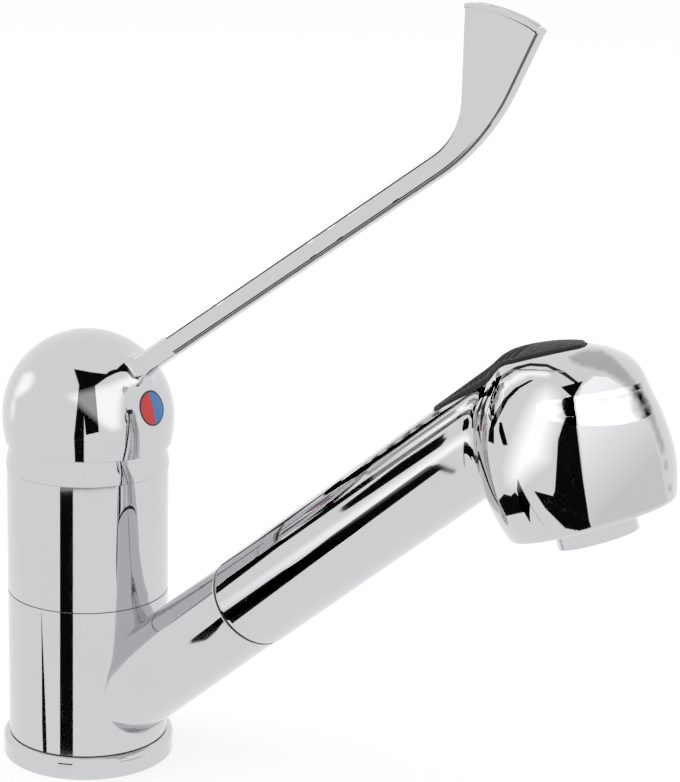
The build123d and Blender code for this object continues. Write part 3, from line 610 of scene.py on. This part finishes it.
def on_pad(u, w, level):
    """Points at a height above or below the head's form, over a place in the pad's plan."""
    base = pad_at + u[..., None] * pad_ahead + w[..., None] * sideways - below_pad * pad_up
    up = np.broadcast_to(pad_up, base.shape)
    return cast(head_form, base, up, pad_reach, level)


def pad_loft(extra, step, across, top, bottom):
    """A closed body over the pad's plan between two level functions, as rings across it."""
    stations = pad_stations(extra, step)
    share = -np.cos(np.linspace(0, pi, across))
    u = np.repeat(stations[:, None], across, axis=1)
    half = pad_half_width(stations, extra)[:, None]
    w = half * share[None, :]
    upper = on_pad(u, w, top(u, w, half))
    lower = on_pad(u, w, np.full_like(u, bottom))
    rings = np.concatenate([upper, lower[:, ::-1]], axis=1)
    columns = 2 * across
    faces = capped_faces(len(stations), columns)
    return rings.reshape(-1, 3), faces


def pad_top(u, w, half):
    """Height of the pad's top: a rounded edge, a plain border and ribs across the middle."""
    inward = np.minimum(half - np.abs(w), np.minimum(u, pad_len - u) * 1.5)
    edge = np.clip(1 - inward / pad_edge_round, 0, 1)
    height = pad_proud - pad_edge_round * (1 - np.sqrt(1 - 0.98 * edge ** 2))
    phase = (u - rib_start + rib_pitch / 2) / rib_pitch
    from_rib = np.abs(phase - np.floor(phase) - 0.5) * rib_pitch
    groove = np.clip((rib_pitch / 2 - from_rib - rib_w / 2 + 0.15) / 0.3, 0, 1)
    ribbed = (phase > 0) & (phase < rib_count)
    border = np.clip((inward - rib_border) / 0.6, 0, 1)
    return height - rib_depth * groove * border * ribbed


def selector_pad():
    points, faces = pad_loft(0.0, 0.2, 34, pad_top, pad_proud - pad_depth)
    piece = new_piece("selector_pad_form", points, faces, "selector", "rubber")
    piece.data.shade_smooth()
    return piece


def cut(piece, points, faces):
    """Takes a closed body out of a piece."""
    mesh = bpy.data.meshes.new("cutter")
    mesh.from_pydata((points * millimetre).tolist(), [], faces)
    cutter = bpy.data.objects.new("cutter", mesh)
    scene.collection.objects.link(cutter)
    modifier = piece.modifiers.new("cut", "BOOLEAN")
    modifier.operation = "DIFFERENCE"
    modifier.solver = "EXACT"
    modifier.object = cutter
    graph = bpy.context.evaluated_depsgraph_get()
    result = bpy.data.meshes.new_from_object(piece.evaluated_get(graph))
    piece.modifiers.clear()
    piece.data = result
    bpy.data.objects.remove(cutter)


def pocket_top(u, w, half):
    return np.full_like(u, above_pocket)


def head_pieces():
    """The shell with the pad's pocket cut into it, and the pad."""
    shell = handset_shell()
    cut(shell, *pad_loft(pad_side_gap, 0.8, 24, pocket_top, -pocket_depth))
    shade_by_form(shell, head_form)
    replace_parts(shell, "handset_shell")
    pad = selector_pad()
    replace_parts(pad, "selector_pad")


# The lever: dome with its front tongue, and the arm with its paddle, in the lever's own plane
dome_z = 115.0
dome_r = 27.2
dome_lip_r = 26.3
dome_lip_z = 106.3
dome_lip_round = 0.5
dome_inner_r = 25.0
lip_inner_r = 25.4
lip_inner_z = 111.0
boss_r = 9.0
boss_low_z = 109.5
spindle_hole_r = 5.35
spindle_hole_top = 125.3
fine_around = 12
fine_lifts = (24, 47)
top_lift = 89.6
tongue_x = 5.05
tongue_r = 23.65
tongue_blend = 3.0
lever_angle = 35.3
lever_rise = 3.1
arm_h = 6.7
arm_thick = 5.0
arm_edge = 1.2
arm_blend = 9.0
arm_starts = 45.0
# Each bend's place along the arm, radius, angle and the length of its edge beyond the corner
inner_bend = (174.0, 20.0, 54.9, 36.2)
outer_bend = (179.8, 69.0, 28.6, 36.9)
paddle_bulge = 1.45
bulge_stations = 12
arm_side_steps = 8
arm_end_steps = 5
lever_dir = lean(lever_angle)
lever_up = lean(lever_angle + 90)
lever_at = np.array([0.0, 0.0, dome_z + lever_rise])


def dome_form(points):
    """Ball above and barrel below, with the front tongue."""
    rounds = []
    for x, radius in ((0.0, dome_r), (tongue_x, tongue_r)):
        q = points - np.array([x, 0.0, dome_z])
        share = np.clip(-q[..., 2] / (dome_z - dome_lip_z), 0, 1.5)
        barrel = radius - (dome_r - dome_lip_r) * share ** 2
        q = np.stack([q[..., 0], q[..., 1], np.maximum(q[..., 2], 0)], axis=-1)
        rounds.append(np.linalg.norm(q, axis=-1) - barrel)
    return soft_union(rounds[0], rounds[1], tongue_blend)


def arm_form(points):
    """The straight part of the arm, as a long bar with rounded edges."""
    q = points - lever_at
    across = np.abs(q @ lever_up) - arm_h / 2 + arm_edge
    side = np.abs(q[..., 1]) - arm_thick / 2 + arm_edge
    along = q @ lever_dir
    outside = np.hypot(np.maximum(across, 0), np.maximum(side, 0))
    bar = outside + np.minimum(np.maximum(across, side), 0) - arm_edge
    return np.maximum(np.maximum(bar, -along), along - arm_starts)


def lever_form(points):
    """The dome with the arm growing out of it."""
    return soft_union(dome_form(points), arm_form(points), arm_blend)


def spaced(start, end, fine_start, fine_end, coarse, fine):
    """Angles from start to end, closer together between two of them."""
    parts = [
        np.linspace(start, fine_start, max(2, round((fine_start - start) / coarse)), endpoint=False),
        np.linspace(fine_start, fine_end, round((fine_end - fine_start) / fine), endpoint=False),
        np.linspace(fine_end, end, max(2, round((end - fine_end) / coarse)) + 1),
    ]
    return np.radians(np.concatenate(parts))


def lever_dome():
    """One skin: the spindle's hole, the boss, the hollow, the lip and then the outside."""
    around = spaced(-180, 180, -fine_around, fine_around, 2.5, 0.3)[:-1]
    lifts = spaced(0, top_lift, *fine_lifts, 2.5, 0.3)
    flat = np.stack([np.cos(around), np.sin(around), np.zeros_like(around)], axis=-1)
    top = np.array([0.0, 0.0, 1.0])
    starts = []
    ways = []
    for z in np.linspace(dome_lip_z + dome_lip_round, dome_z, 8)[:-1]:
        starts.append(np.broadcast_to([0.0, 0.0, z], flat.shape))
        ways.append(flat)
    for lift in lifts:
        starts.append(np.broadcast_to([0.0, 0.0, dome_z], flat.shape))
        ways.append(cos(lift) * flat + sin(lift) * top)
    outer = cast(lever_form, np.array(starts), np.array(ways), furthest)
    low = outer[0]
    out = low - np.array([0.0, 0.0, low[0, 2]])
    out = out / np.linalg.norm(out, axis=-1, keepdims=True)
    boss_lift = np.degrees(np.arccos(boss_r / dome_inner_r))
    hollow = [(spindle_hole_r, spindle_hole_top), (spindle_hole_r, boss_low_z), (boss_r, boss_low_z)]
    for lift in np.radians(np.linspace(boss_lift, -9.2, 14)):
        hollow.append((dome_inner_r * cos(lift), dome_z + dome_inner_r * sin(lift)))
    hollow += [(lip_inner_r, lip_inner_z), (lip_inner_r, dome_lip_z)]
    rows = [radius * flat + height * top for radius, height in hollow]
    for turn in np.linspace(pi / 2, 0, 4)[:-1]:
        rows.append(low - dome_lip_round * (1 - cos(turn)) * out - dome_lip_round * sin(turn) * top)
    rows += list(outer)
    columns = len(around)
    points = np.concatenate(rows)
    faces = capped_faces(len(rows), columns)
    piece = new_piece("lever_dome_form", points, faces, "lever", "chrome")
    shade_by_form(piece, lever_form)
    return piece


def edge_path(bend, side):
    """Points and outward directions along one long edge of the lever, in its own plane."""
    bend_at, radius, end_angle, end_len = bend
    turn = radians(end_angle)
    setback = radius * tan(turn / 2)
    corner = np.array([bend_at, side * arm_h / 2])
    places = []
    for share in np.linspace(0, 1, 40, endpoint=False):
        along = arm_starts + (bend_at - setback - arm_starts) * share
        places.append((np.array([along, corner[1]]), 0.0))
    centre = corner + np.array([-setback, radius])
    for share in np.linspace(0, 1, 40, endpoint=False):
        angle = turn * share
        places.append((centre + radius * np.array([sin(angle), -cos(angle)]), angle))
    ahead = np.array([cos(turn), sin(turn)])
    for share in np.linspace(0, 1, 25):
        places.append((corner + (setback + (end_len - setback) * share) * ahead, turn))
    points = np.array([place for place, _ in places])
    angles = np.array([angle for _, angle in places])
    return points, side * np.stack([-np.sin(angles), np.cos(angles)], axis=-1)


def arm_section():
    """The arm's rounded section: share across, inset from the edge, Y, facing outward, facing Y."""
    half = arm_thick / 2
    flat = half - arm_edge
    steps = arm_side_steps
    section = []
    for side in (1, -1):
        section.append((-side, arm_edge, side * half, 0.0, side))
        for i in range(1, steps):
            section.append((-side + 2 * side * i / steps, 0.0, side * half, 0.0, side))
        section.append((side, arm_edge, side * half, 0.0, side))
        for i in range(1, steps):
            turn = pi / 2 * i / steps
            place = side * (flat + arm_edge * cos(turn))
            section.append((side, arm_edge * (1 - sin(turn)), place, sin(turn), side * cos(turn)))
        for i in range(steps):
            turn = pi / 2 * i / steps
            place = side * (-flat - arm_edge * sin(turn))
            section.append((side, arm_edge * (1 - cos(turn)), place, cos(turn), -side * sin(turn)))
    return section


def lever_arm():
    """The arm and its paddle as sections from the dome to the paddle's rounded end."""
    low, low_out = edge_path(outer_bend, -1)
    high, high_out = edge_path(inner_bend, 1)
    section = arm_section()
    end_run = high[-1] - low[-1]
    ahead = np.array([end_run[1], -end_run[0]]) / np.linalg.norm(end_run)
    stations = [(i, 0.0, 0.0) for i in range(len(low))]
    for i in range(1, arm_end_steps + 1):
        turn = pi / 2 * i / arm_end_steps
        stations.append((len(low) - 1, arm_edge * (1 - cos(turn)), turn))
    rows = []
    facing = []
    for i, shrink, turn in stations:
        run = high[i] - low[i]
        width = np.linalg.norm(run)
        weight = max(0.0, (i - len(low) + bulge_stations) / (bulge_stations - 1)) ** 2
        end_step = arm_edge * sin(turn) - arm_edge * (i == len(low) - 1)
        for share, inset, y, out, across in section:
            edge = (inset + shrink) / width
            at = low[i] + run * np.clip((1 + share) / 2, edge, 1 - edge)
            at = at + ahead * (paddle_bulge * (1 - share ** 2) * weight + end_step)
            y_at = y * (1 - shrink / (arm_thick / 2))
            rows.append(lever_at + at[0] * lever_dir + at[1] * lever_up + y_at * sideways)
            edge_out = high_out[i] if share > 0 else low_out[i]
            flat = cos(turn) * out * edge_out + sin(turn) * ahead
            normal = flat[0] * lever_dir + flat[1] * lever_up + cos(turn) * across * sideways
            facing.append(normal / np.linalg.norm(normal))
    columns = len(section)
    faces = capped_faces(len(stations), columns)
    piece = new_piece("lever_arm_form", np.array(rows), faces, "lever", "chrome")
    piece.data.shade_smooth()
    piece.data.normals_split_custom_set_from_vertices(np.array(facing).tolist())
    return piece


# The index plug, flush with the tongue
plug_r = 5.45
plug_rim = 0.5
plug_z = dome_z + 6.7
plug_proud = 0.1
plug_back = -1.2
plug_chamfer = 0.12
plug_sides = 64
half_gap = 0.01
half_sunk = 0.04
half_slack = 0.02
behind_plug_x = 12.0
plug_reach = 40.0


def on_tongue(u, w, level):
    """Points over a place in the plug's face, u across and w up, at a height above the tongue."""
    start = np.stack([np.full_like(u, behind_plug_x), u, w + plug_z], axis=-1)
    return cast(lever_form, start, np.broadcast_to([1.0, 0.0, 0.0], start.shape), plug_reach, level)


def plug_rim_piece():
    """The plug's dark rim as a ring of a five-sided section."""
    angles = np.linspace(0, 2 * pi, plug_sides, endpoint=False)
    inner = plug_r - plug_rim
    section = [
        (inner, plug_back),
        (plug_r, plug_back),
        (plug_r, 0.0),
        (plug_r - plug_chamfer, plug_proud),
        (inner, plug_proud),
    ]
    rows = []
    for radius, level in section:
        levels = np.full_like(angles, level)
        rows.append(on_tongue(radius * np.cos(angles), radius * np.sin(angles), levels))
    rows.append(rows[0])
    faces = grid_faces(len(rows), plug_sides)
    return new_piece("index_rim_form", np.concatenate(rows), faces, "lever", "black_plastic")


def plug_half(name, side, slot):
    """One coloured half of the plug, domed like the tongue."""
    radius = plug_r - plug_rim - half_slack
    spread = 1 - np.cos(np.linspace(0, pi / 2, 14))[::-1]
    stations = side * (half_gap + (radius - half_gap - half_slack) * spread)
    share = -np.cos(np.linspace(0, pi, 16)) * side
    u = np.repeat(stations[:, None], len(share), axis=1)
    half = np.sqrt(np.maximum(radius ** 2 - u ** 2, 0.0))
    upper = on_tongue(u, half * share, np.full_like(u, plug_proud - half_sunk))
    lower = on_tongue(u, half * share, np.full_like(u, plug_back))
    rings = np.concatenate([upper, lower[:, ::-1]], axis=1)
    columns = rings.shape[1]
    faces = capped_faces(len(stations), columns)
    return new_piece(name, rings.reshape(-1, 3), faces, "lever", slot)


def lever_pieces():
    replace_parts(lever_dome(), "lever_handle")
    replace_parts(lever_arm(), "lever_handle")
    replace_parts(plug_rim_piece(), "index_plug")
    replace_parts(plug_half("index_red_form", -1, "red_plastic"), "index_red")
    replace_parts(plug_half("index_blue_form", 1, "blue_plastic"), "index_blue")


# The dark lip that closes the gap between the branch and the docked handset, as radius and place
# along the tube
lip_rows = ((12.2, 0.5), (14.6, 0.5), (14.6, 0.2), (14.6, -0.3), (14.45, -0.52), (12.2, -0.52))


def docking_lip():
    rows = [ring_about(tube_root + along * branch_dir, branch_up, radius) for radius, along in lip_rows]
    rows.append(rows[0])
    faces = grid_faces(len(rows), ring_points)
    piece = new_piece("docking_lip", np.concatenate(rows), faces, "handset", "rubber")
    piece.data.shade_smooth()


# Painted reflections: cards that only the metal sees, which paint dark and bright reflection shapes on
# the chrome from the camera's place. Each is given by the light that it adds, or takes away where negative,
# and by the outline, in pixels of the 680 by 782 frame, that its mirror image has on one of the chrome
# forms
card_distance = 400.0
card_spacing = 4.0
frame_size = (680, 782)
column_form_r = 26.0
branch_root_r = 15.57
branch_mouth_r = 14.55
branch_len = 89.0
# Light levels of the painted dark reflections: nearly all of what the chrome reflects taken away, and a
# little less
painted_black_reflection = -0.996
painted_charcoal_reflection = -0.965
nearest_form = 450.0
march_steps = 300
march_share = 0.7
march_limits = (-4.0, 40.0)


def pixel_rays(pixels):
    """Directions from the camera through pixels of the frame."""
    turn = np.array(scene.camera.matrix_world.to_3x3())
    focal = camera_lens / sensor_w * max(frame_size)
    x = pixels[:, 0] - frame_size[0] / 2
    y = frame_size[1] / 2 - pixels[:, 1]
    ways = np.stack([x, y, np.full_like(x, -focal)], axis=-1) @ turn.T
    return ways / np.linalg.norm(ways, axis=-1, keepdims=True)


def first_hits(form, ways):
    """Where camera rays first meet a form, in millimetres."""
    eye = np.array(camera_at) / millimetre
    reach = np.full(len(ways), nearest_form)
    for _ in range(march_steps):
        gap = form(eye + reach[:, None] * ways)
        reach = reach + march_share * np.clip(gap, *march_limits)
    return eye + reach[:, None] * ways


def column_form(points):
    return np.linalg.norm(points[..., :2], axis=-1) - column_form_r


def branch_form(points):
    along, off = along_and_off(points, np.array(branch_root), branch_dir)
    return off - branch_root_r + (branch_root_r - branch_mouth_r) * along / branch_len


def outline_points(corners, spacing):
    """A closed outline with points added along its sides."""
    points = []
    for (x0, y0), (x1, y1) in zip(corners, corners[1:] + corners[:1]):
        count = max(1, round(sqrt((x1 - x0) ** 2 + (y1 - y0) ** 2) / spacing))
        points += [(x0 + (x1 - x0) * i / count, y0 + (y1 - y0) * i / count) for i in range(count)]
    return points


def edge_distance(points, outline):
    """How far points are from a closed outline."""
    start = np.array(outline)
    run = np.roll(start, -1, axis=0) - start
    q = points[:, None, :] - start[None]
    share = np.clip(np.sum(q * run, axis=2) / np.maximum(np.sum(run * run, axis=1), 1e-9), 0, 1)
    return np.linalg.norm(q - share[..., None] * run, axis=2).min(axis=1)


def filled_outline(corners, spacing):
    """Points and triangles that fill an outline, with the places inside it as well."""
    rim = outline_points(corners, spacing)
    xs, ys = zip(*corners)
    inner = []
    for y in np.arange(min(ys) + spacing / 2, max(ys), spacing):
        inner += [(x, y) for x in np.arange(min(xs) + spacing / 2, max(xs), spacing)]
    far = edge_distance(np.array(inner), rim) > spacing / 2 if inner else []
    points = [Vector(p) for p in rim] + [Vector(p) for p, keep in zip(inner, far) if keep]
    sides = [(i, (i + 1) % len(rim)) for i in range(len(rim))]
    places, _, faces, *_ = geometry.delaunay_2d_cdt(points, sides, [], 1, 1e-4)
    return np.array([tuple(p) for p in places]), [tuple(face) for face in faces], rim


def painted_reflection_material():
    """Painted reflection: light added to what the metal sees behind a card, or taken from it where
    negative.
    """
    material = bpy.data.materials.new("card")
    material.use_nodes = True
    material.cycles.emission_sampling = "NONE"
    tree = material.node_tree
    tree.nodes.clear()
    out = tree.nodes.new("ShaderNodeOutputMaterial")
    add = tree.nodes.new("ShaderNodeAddShader")
    clear = tree.nodes.new("ShaderNodeBsdfTransparent")
    glow = tree.nodes.new("ShaderNodeEmission")
    light = tree.nodes.new("ShaderNodeAttribute")
    light.attribute_name = "light"
    tree.links.new(light.outputs["Fac"], glow.inputs["Strength"])
    tree.links.new(clear.outputs[0], add.inputs[0])
    tree.links.new(glow.outputs[0], add.inputs[1])
    tree.links.new(add.outputs[0], out.inputs["Surface"])
    return material


def receivers(name, pieces):
    group = bpy.data.collections.new(name)
    for piece in pieces:
        group.objects.link(piece)
    return group


def painted_reflection_sheet(name, points, faces, levels, group, material):
    """A card of painted reflection that one group of pieces sees and nothing else does."""
    mesh = bpy.data.meshes.new(name)
    mesh.from_pydata((points * millimetre).tolist(), [], faces)
    mesh.attributes.new("light", "FLOAT", "POINT").data.foreach_set("value", levels)
    mesh.materials.append(material)
    piece = bpy.data.objects.new(name, mesh)
    scene.collection.objects.link(piece)
    piece.visible_camera = False
    piece.visible_diffuse = False
    piece.visible_shadow = False
    piece.visible_transmission = False
    piece.visible_volume_scatter = False
    piece.light_linking.receiver_collection = group


def mirrored(ways, normals):
    """Directions after they bounce off a surface."""
    return ways - 2 * np.sum(ways * normals, axis=-1, keepdims=True) * normals


def painted_reflection_card(name, form, group, material, card):
    """A card that paints a reflection on a chrome form, with a level light, or a ramp of light between two
    places, and a sharp or soft edge.
    """
    light, corners = card[:2]
    options = card[2] if len(card) > 2 else {}
    places, faces, rim = filled_outline(corners, card_spacing)
    ways = pixel_rays(places)
    hits = first_hits(form, ways)
    points = hits + card_distance * mirrored(ways, slope(form, hits))
    levels = np.full(len(places), float(light))
    if "ramp" in options:
        (x0, y0), (x1, y1), end_light = options["ramp"]
        run = np.array([x1 - x0, y1 - y0])
        share = np.clip((places - (x0, y0)) @ run / (run @ run), 0, 1)
        levels = light + (end_light - light) * share
    if "soft" in options:
        levels = levels * np.clip(edge_distance(places, rim) / options["soft"], 0, 1)
    painted_reflection_sheet(name, points, faces, levels, group, material)


# Painted light and dark reflections along the arm's rounded front edges: the edge, where the card's image
# starts and ends in degrees round from the arm's side, and its light
painted_arm_edge_cards = {
    "arm_low_edge": (-1, 22.0, 62.0, -0.8),
    "arm_high_edge": (1, 12.0, 50.0, 0.3),
}


def painted_arm_edge_card(name, side, first, last, light, group, material):
    """A card whose painted reflection follows one front edge of the arm and paddle."""
    eye = np.array(camera_at) / millimetre
    turns = np.radians(np.linspace(first, last, 9))
    rows = []
    edge = edge_path(inner_bend if side > 0 else outer_bend, side)
    for at, out in zip(*edge):
        place = lever_at + at[0] * lever_dir + at[1] * lever_up - arm_thick / 2 * sideways
        away = out[0] * lever_dir + out[1] * lever_up
        way = (place - eye) / np.linalg.norm(place - eye)
        normals = -np.cos(turns)[:, None] * sideways + np.sin(turns)[:, None] * away
        rows.append(place + card_distance * mirrored(way, normals))
    points = np.concatenate(rows)
    levels = np.full(len(points), light)
    faces = grid_faces(len(rows), len(turns), closed=False)
    painted_reflection_sheet(name, points, faces, levels, group, material)


# Puts up the painted reflections: each form's cards and the arm's edge cards
def add_painted_reflection_cards():
    material = painted_reflection_material()
    for form, pieces, cards in painted_reflection_cards:
        group = receivers(form.__name__, [bpy.data.objects[piece] for piece in pieces])
        for name, card in cards.items():
            painted_reflection_card(name, form, group, material, card)
    group = receivers("arm_metal", [bpy.data.objects["lever_arm_form"]])
    for name, (side, first, last, light) in painted_arm_edge_cards.items():
        painted_arm_edge_card(name, side, first, last, light, group, material)


shell_names = ["handset_shell_form"]
# Painted reflections and painted highlights on the chrome, for each form: the pieces that see them and
# their cards
painted_reflection_cards = [
    (column_form, ["valve_body", "swivel_body", "base_ring"], {
        "column_band": (painted_black_reflection, [(60, 490), (73, 490), (73, 757), (60, 757)]),
        "column_line": (-0.8, [(118, 488), (121, 488), (119, 560), (120, 600), (117, 600), (116, 560)]),
        "column_streak": (-0.45, [
            (121, 488), (135, 488), (139, 540), (140, 592), (128, 600), (121, 570)
        ]),
        "column_top": (painted_black_reflection, [(60, 486), (116, 485), (116, 487), (90, 489), (60, 489)]),
    }),
    (column_form, ["collar_ring"], {
        "collar_dark": (painted_black_reflection, [(72, 464), (93, 464), (93, 471), (72, 470)]),
        "collar_bright": (0.3, [(95, 460), (114, 460), (118, 480), (95, 480)], {"soft": 3}),
    }),
    (branch_form, ["swivel_body"], {
        "branch_low": (painted_black_reflection, [
            (191, 640), (222, 616), (246, 597), (243, 606), (224, 622), (207, 640), (192, 643)
        ]),
        "branch_high": (-0.75, [(152, 621), (190, 594), (214, 577), (214, 579), (190, 597), (153, 624)]),
        "branch_mid": (-0.6, [(160, 627), (190, 606), (215, 588), (216, 591), (190, 610), (162, 630)]),
        "branch_root_dark": (painted_black_reflection, [
            (96, 632), (98, 612), (104, 598), (113, 586), (128, 574), (145, 566), (130, 580),
            (115, 592), (107, 604), (102, 618), (98, 634)
        ]),
    }),
    (dome_form, ["lever_dome_form"], {
        "dome_crown": (painted_black_reflection, [
            (74, 369), (90, 372), (106, 374), (112, 366), (124, 361), (132, 366), (139, 376),
            (128, 372), (116, 372), (106, 378), (95, 386), (99, 432), (86, 435), (84, 416), (84, 463),
            (75, 463), (74, 437), (77, 408), (79, 385)
        ]),
        "dome_right": (painted_black_reflection, [(126, 406), (130, 421), (127, 459), (124, 459), (127, 421)]),
        "dome_streak": (-0.3, [(130, 410), (134, 420), (140, 458), (128, 459), (131, 425)]),
        "dome_bright": (0.5, [
            (60, 394), (108, 382), (120, 376), (130, 382), (124, 402), (123, 430), (112, 434),
            (101, 428)
        ], {"soft": 7}),
        "dome_edge": (0.5, [
            (22, 372), (34, 368), (37, 380), (30, 392), (18, 400), (12, 440), (7, 440), (8, 410),
            (14, 388)
        ], {"soft": 5}),
    }),
    (head_form, shell_names, {
        "bell_wedge": (painted_black_reflection, [
            (573, 400), (577, 430), (583, 480), (590, 525), (586, 530), (565, 528), (545, 508),
            (534, 491), (553, 496), (555, 490), (558, 440), (566, 415)
        ]),
        "bell_triangle": (painted_black_reflection, [(561, 387), (583, 381), (573, 398)]),
        "bell_blob": (painted_black_reflection, [
            (499, 500), (504, 494), (511, 496), (515, 492), (521, 500), (529, 511), (506, 516),
            (501, 512)
        ]),
        "bell_crescent": (painted_black_reflection, [
            (488, 441), (489, 430), (495, 413), (503, 400), (515, 388), (530, 380), (534, 380),
            (520, 388), (508, 400), (500, 415), (494, 428), (494, 444)
        ]),
        "bell_arch": (painted_charcoal_reflection, [
            (475, 425), (477, 410), (485, 392), (499, 377), (515, 367), (530, 363), (547, 364),
            (565, 372), (578, 382), (576, 384), (563, 375), (547, 367), (530, 366), (516, 370),
            (501, 380), (488, 395), (479, 412), (477, 426)
        ]),
        "bell_crescent_bright": (0.5, [
            (484, 438), (481, 426), (484, 410), (492, 394), (503, 382), (516, 372), (530, 368),
            (546, 369), (556, 378), (545, 379), (530, 377), (514, 385), (500, 398), (491, 414),
            (486, 430)
        ], {"soft": 3}),
        "bell_bright": (0.62, [
            (548, 380), (562, 392), (566, 412), (558, 440), (553, 465), (535, 478), (520, 494),
            (503, 488), (500, 470), (508, 440), (520, 410), (534, 388)
        ], {"soft": 18}),
        "bell_right": (0.42, [
            (576, 402), (582, 386), (594, 376), (608, 377), (622, 386), (636, 402), (650, 428),
            (660, 460), (667, 500), (640, 521), (592, 526), (587, 500), (583, 465), (578, 425)
        ], {"ramp": ((580, 410), (645, 470), -0.12)}),
        "bell_rim": (-0.36, [
            (564, 357), (586, 347), (600, 347), (616, 357), (637, 381), (652, 404), (665, 442),
            (673, 490), (669, 500), (662, 460), (651, 427), (637, 401), (622, 384), (606, 374),
            (590, 370), (575, 366)
        ], {"soft": 3}),
    }),
    (tube_form, shell_names, {
        "tube_low": (painted_black_reflection, [
            (228, 616), (330, 537), (428, 466), (440, 464), (455, 470), (456, 474), (440, 470),
            (334, 548), (229, 626)
        ]),
        "tube_mid": (painted_black_reflection, [
            (342, 507), (400, 463), (445, 433), (447, 438), (441, 446), (372, 493), (345, 511)
        ]),
        "tube_top": (painted_charcoal_reflection, [
            (280, 531), (320, 499), (362, 466), (371, 465), (364, 476), (330, 506), (281, 538)
        ]),
        "tube_line": (-0.8, [(366, 472), (410, 441), (456, 409), (459, 411), (411, 444), (368, 475)]),
        "tube_edge": (-0.28, [(372, 464), (410, 437), (452, 406), (450, 401), (405, 433), (366, 462)]),
        "tube_bright": (0.3, [
            (374, 474), (411, 447), (448, 420), (460, 414), (456, 420), (445, 427), (412, 452),
            (378, 478)
        ]),
        "tube_rear": (-0.6, [(224, 573), (250, 556), (280, 535), (284, 541), (252, 564), (228, 580)]),
    }),
]


add_camera()
add_world()
add_lamps()
add_floor()
finish_nodes()
head_pieces()
lever_pieces()
docking_lip()
add_painted_reflection_cards()
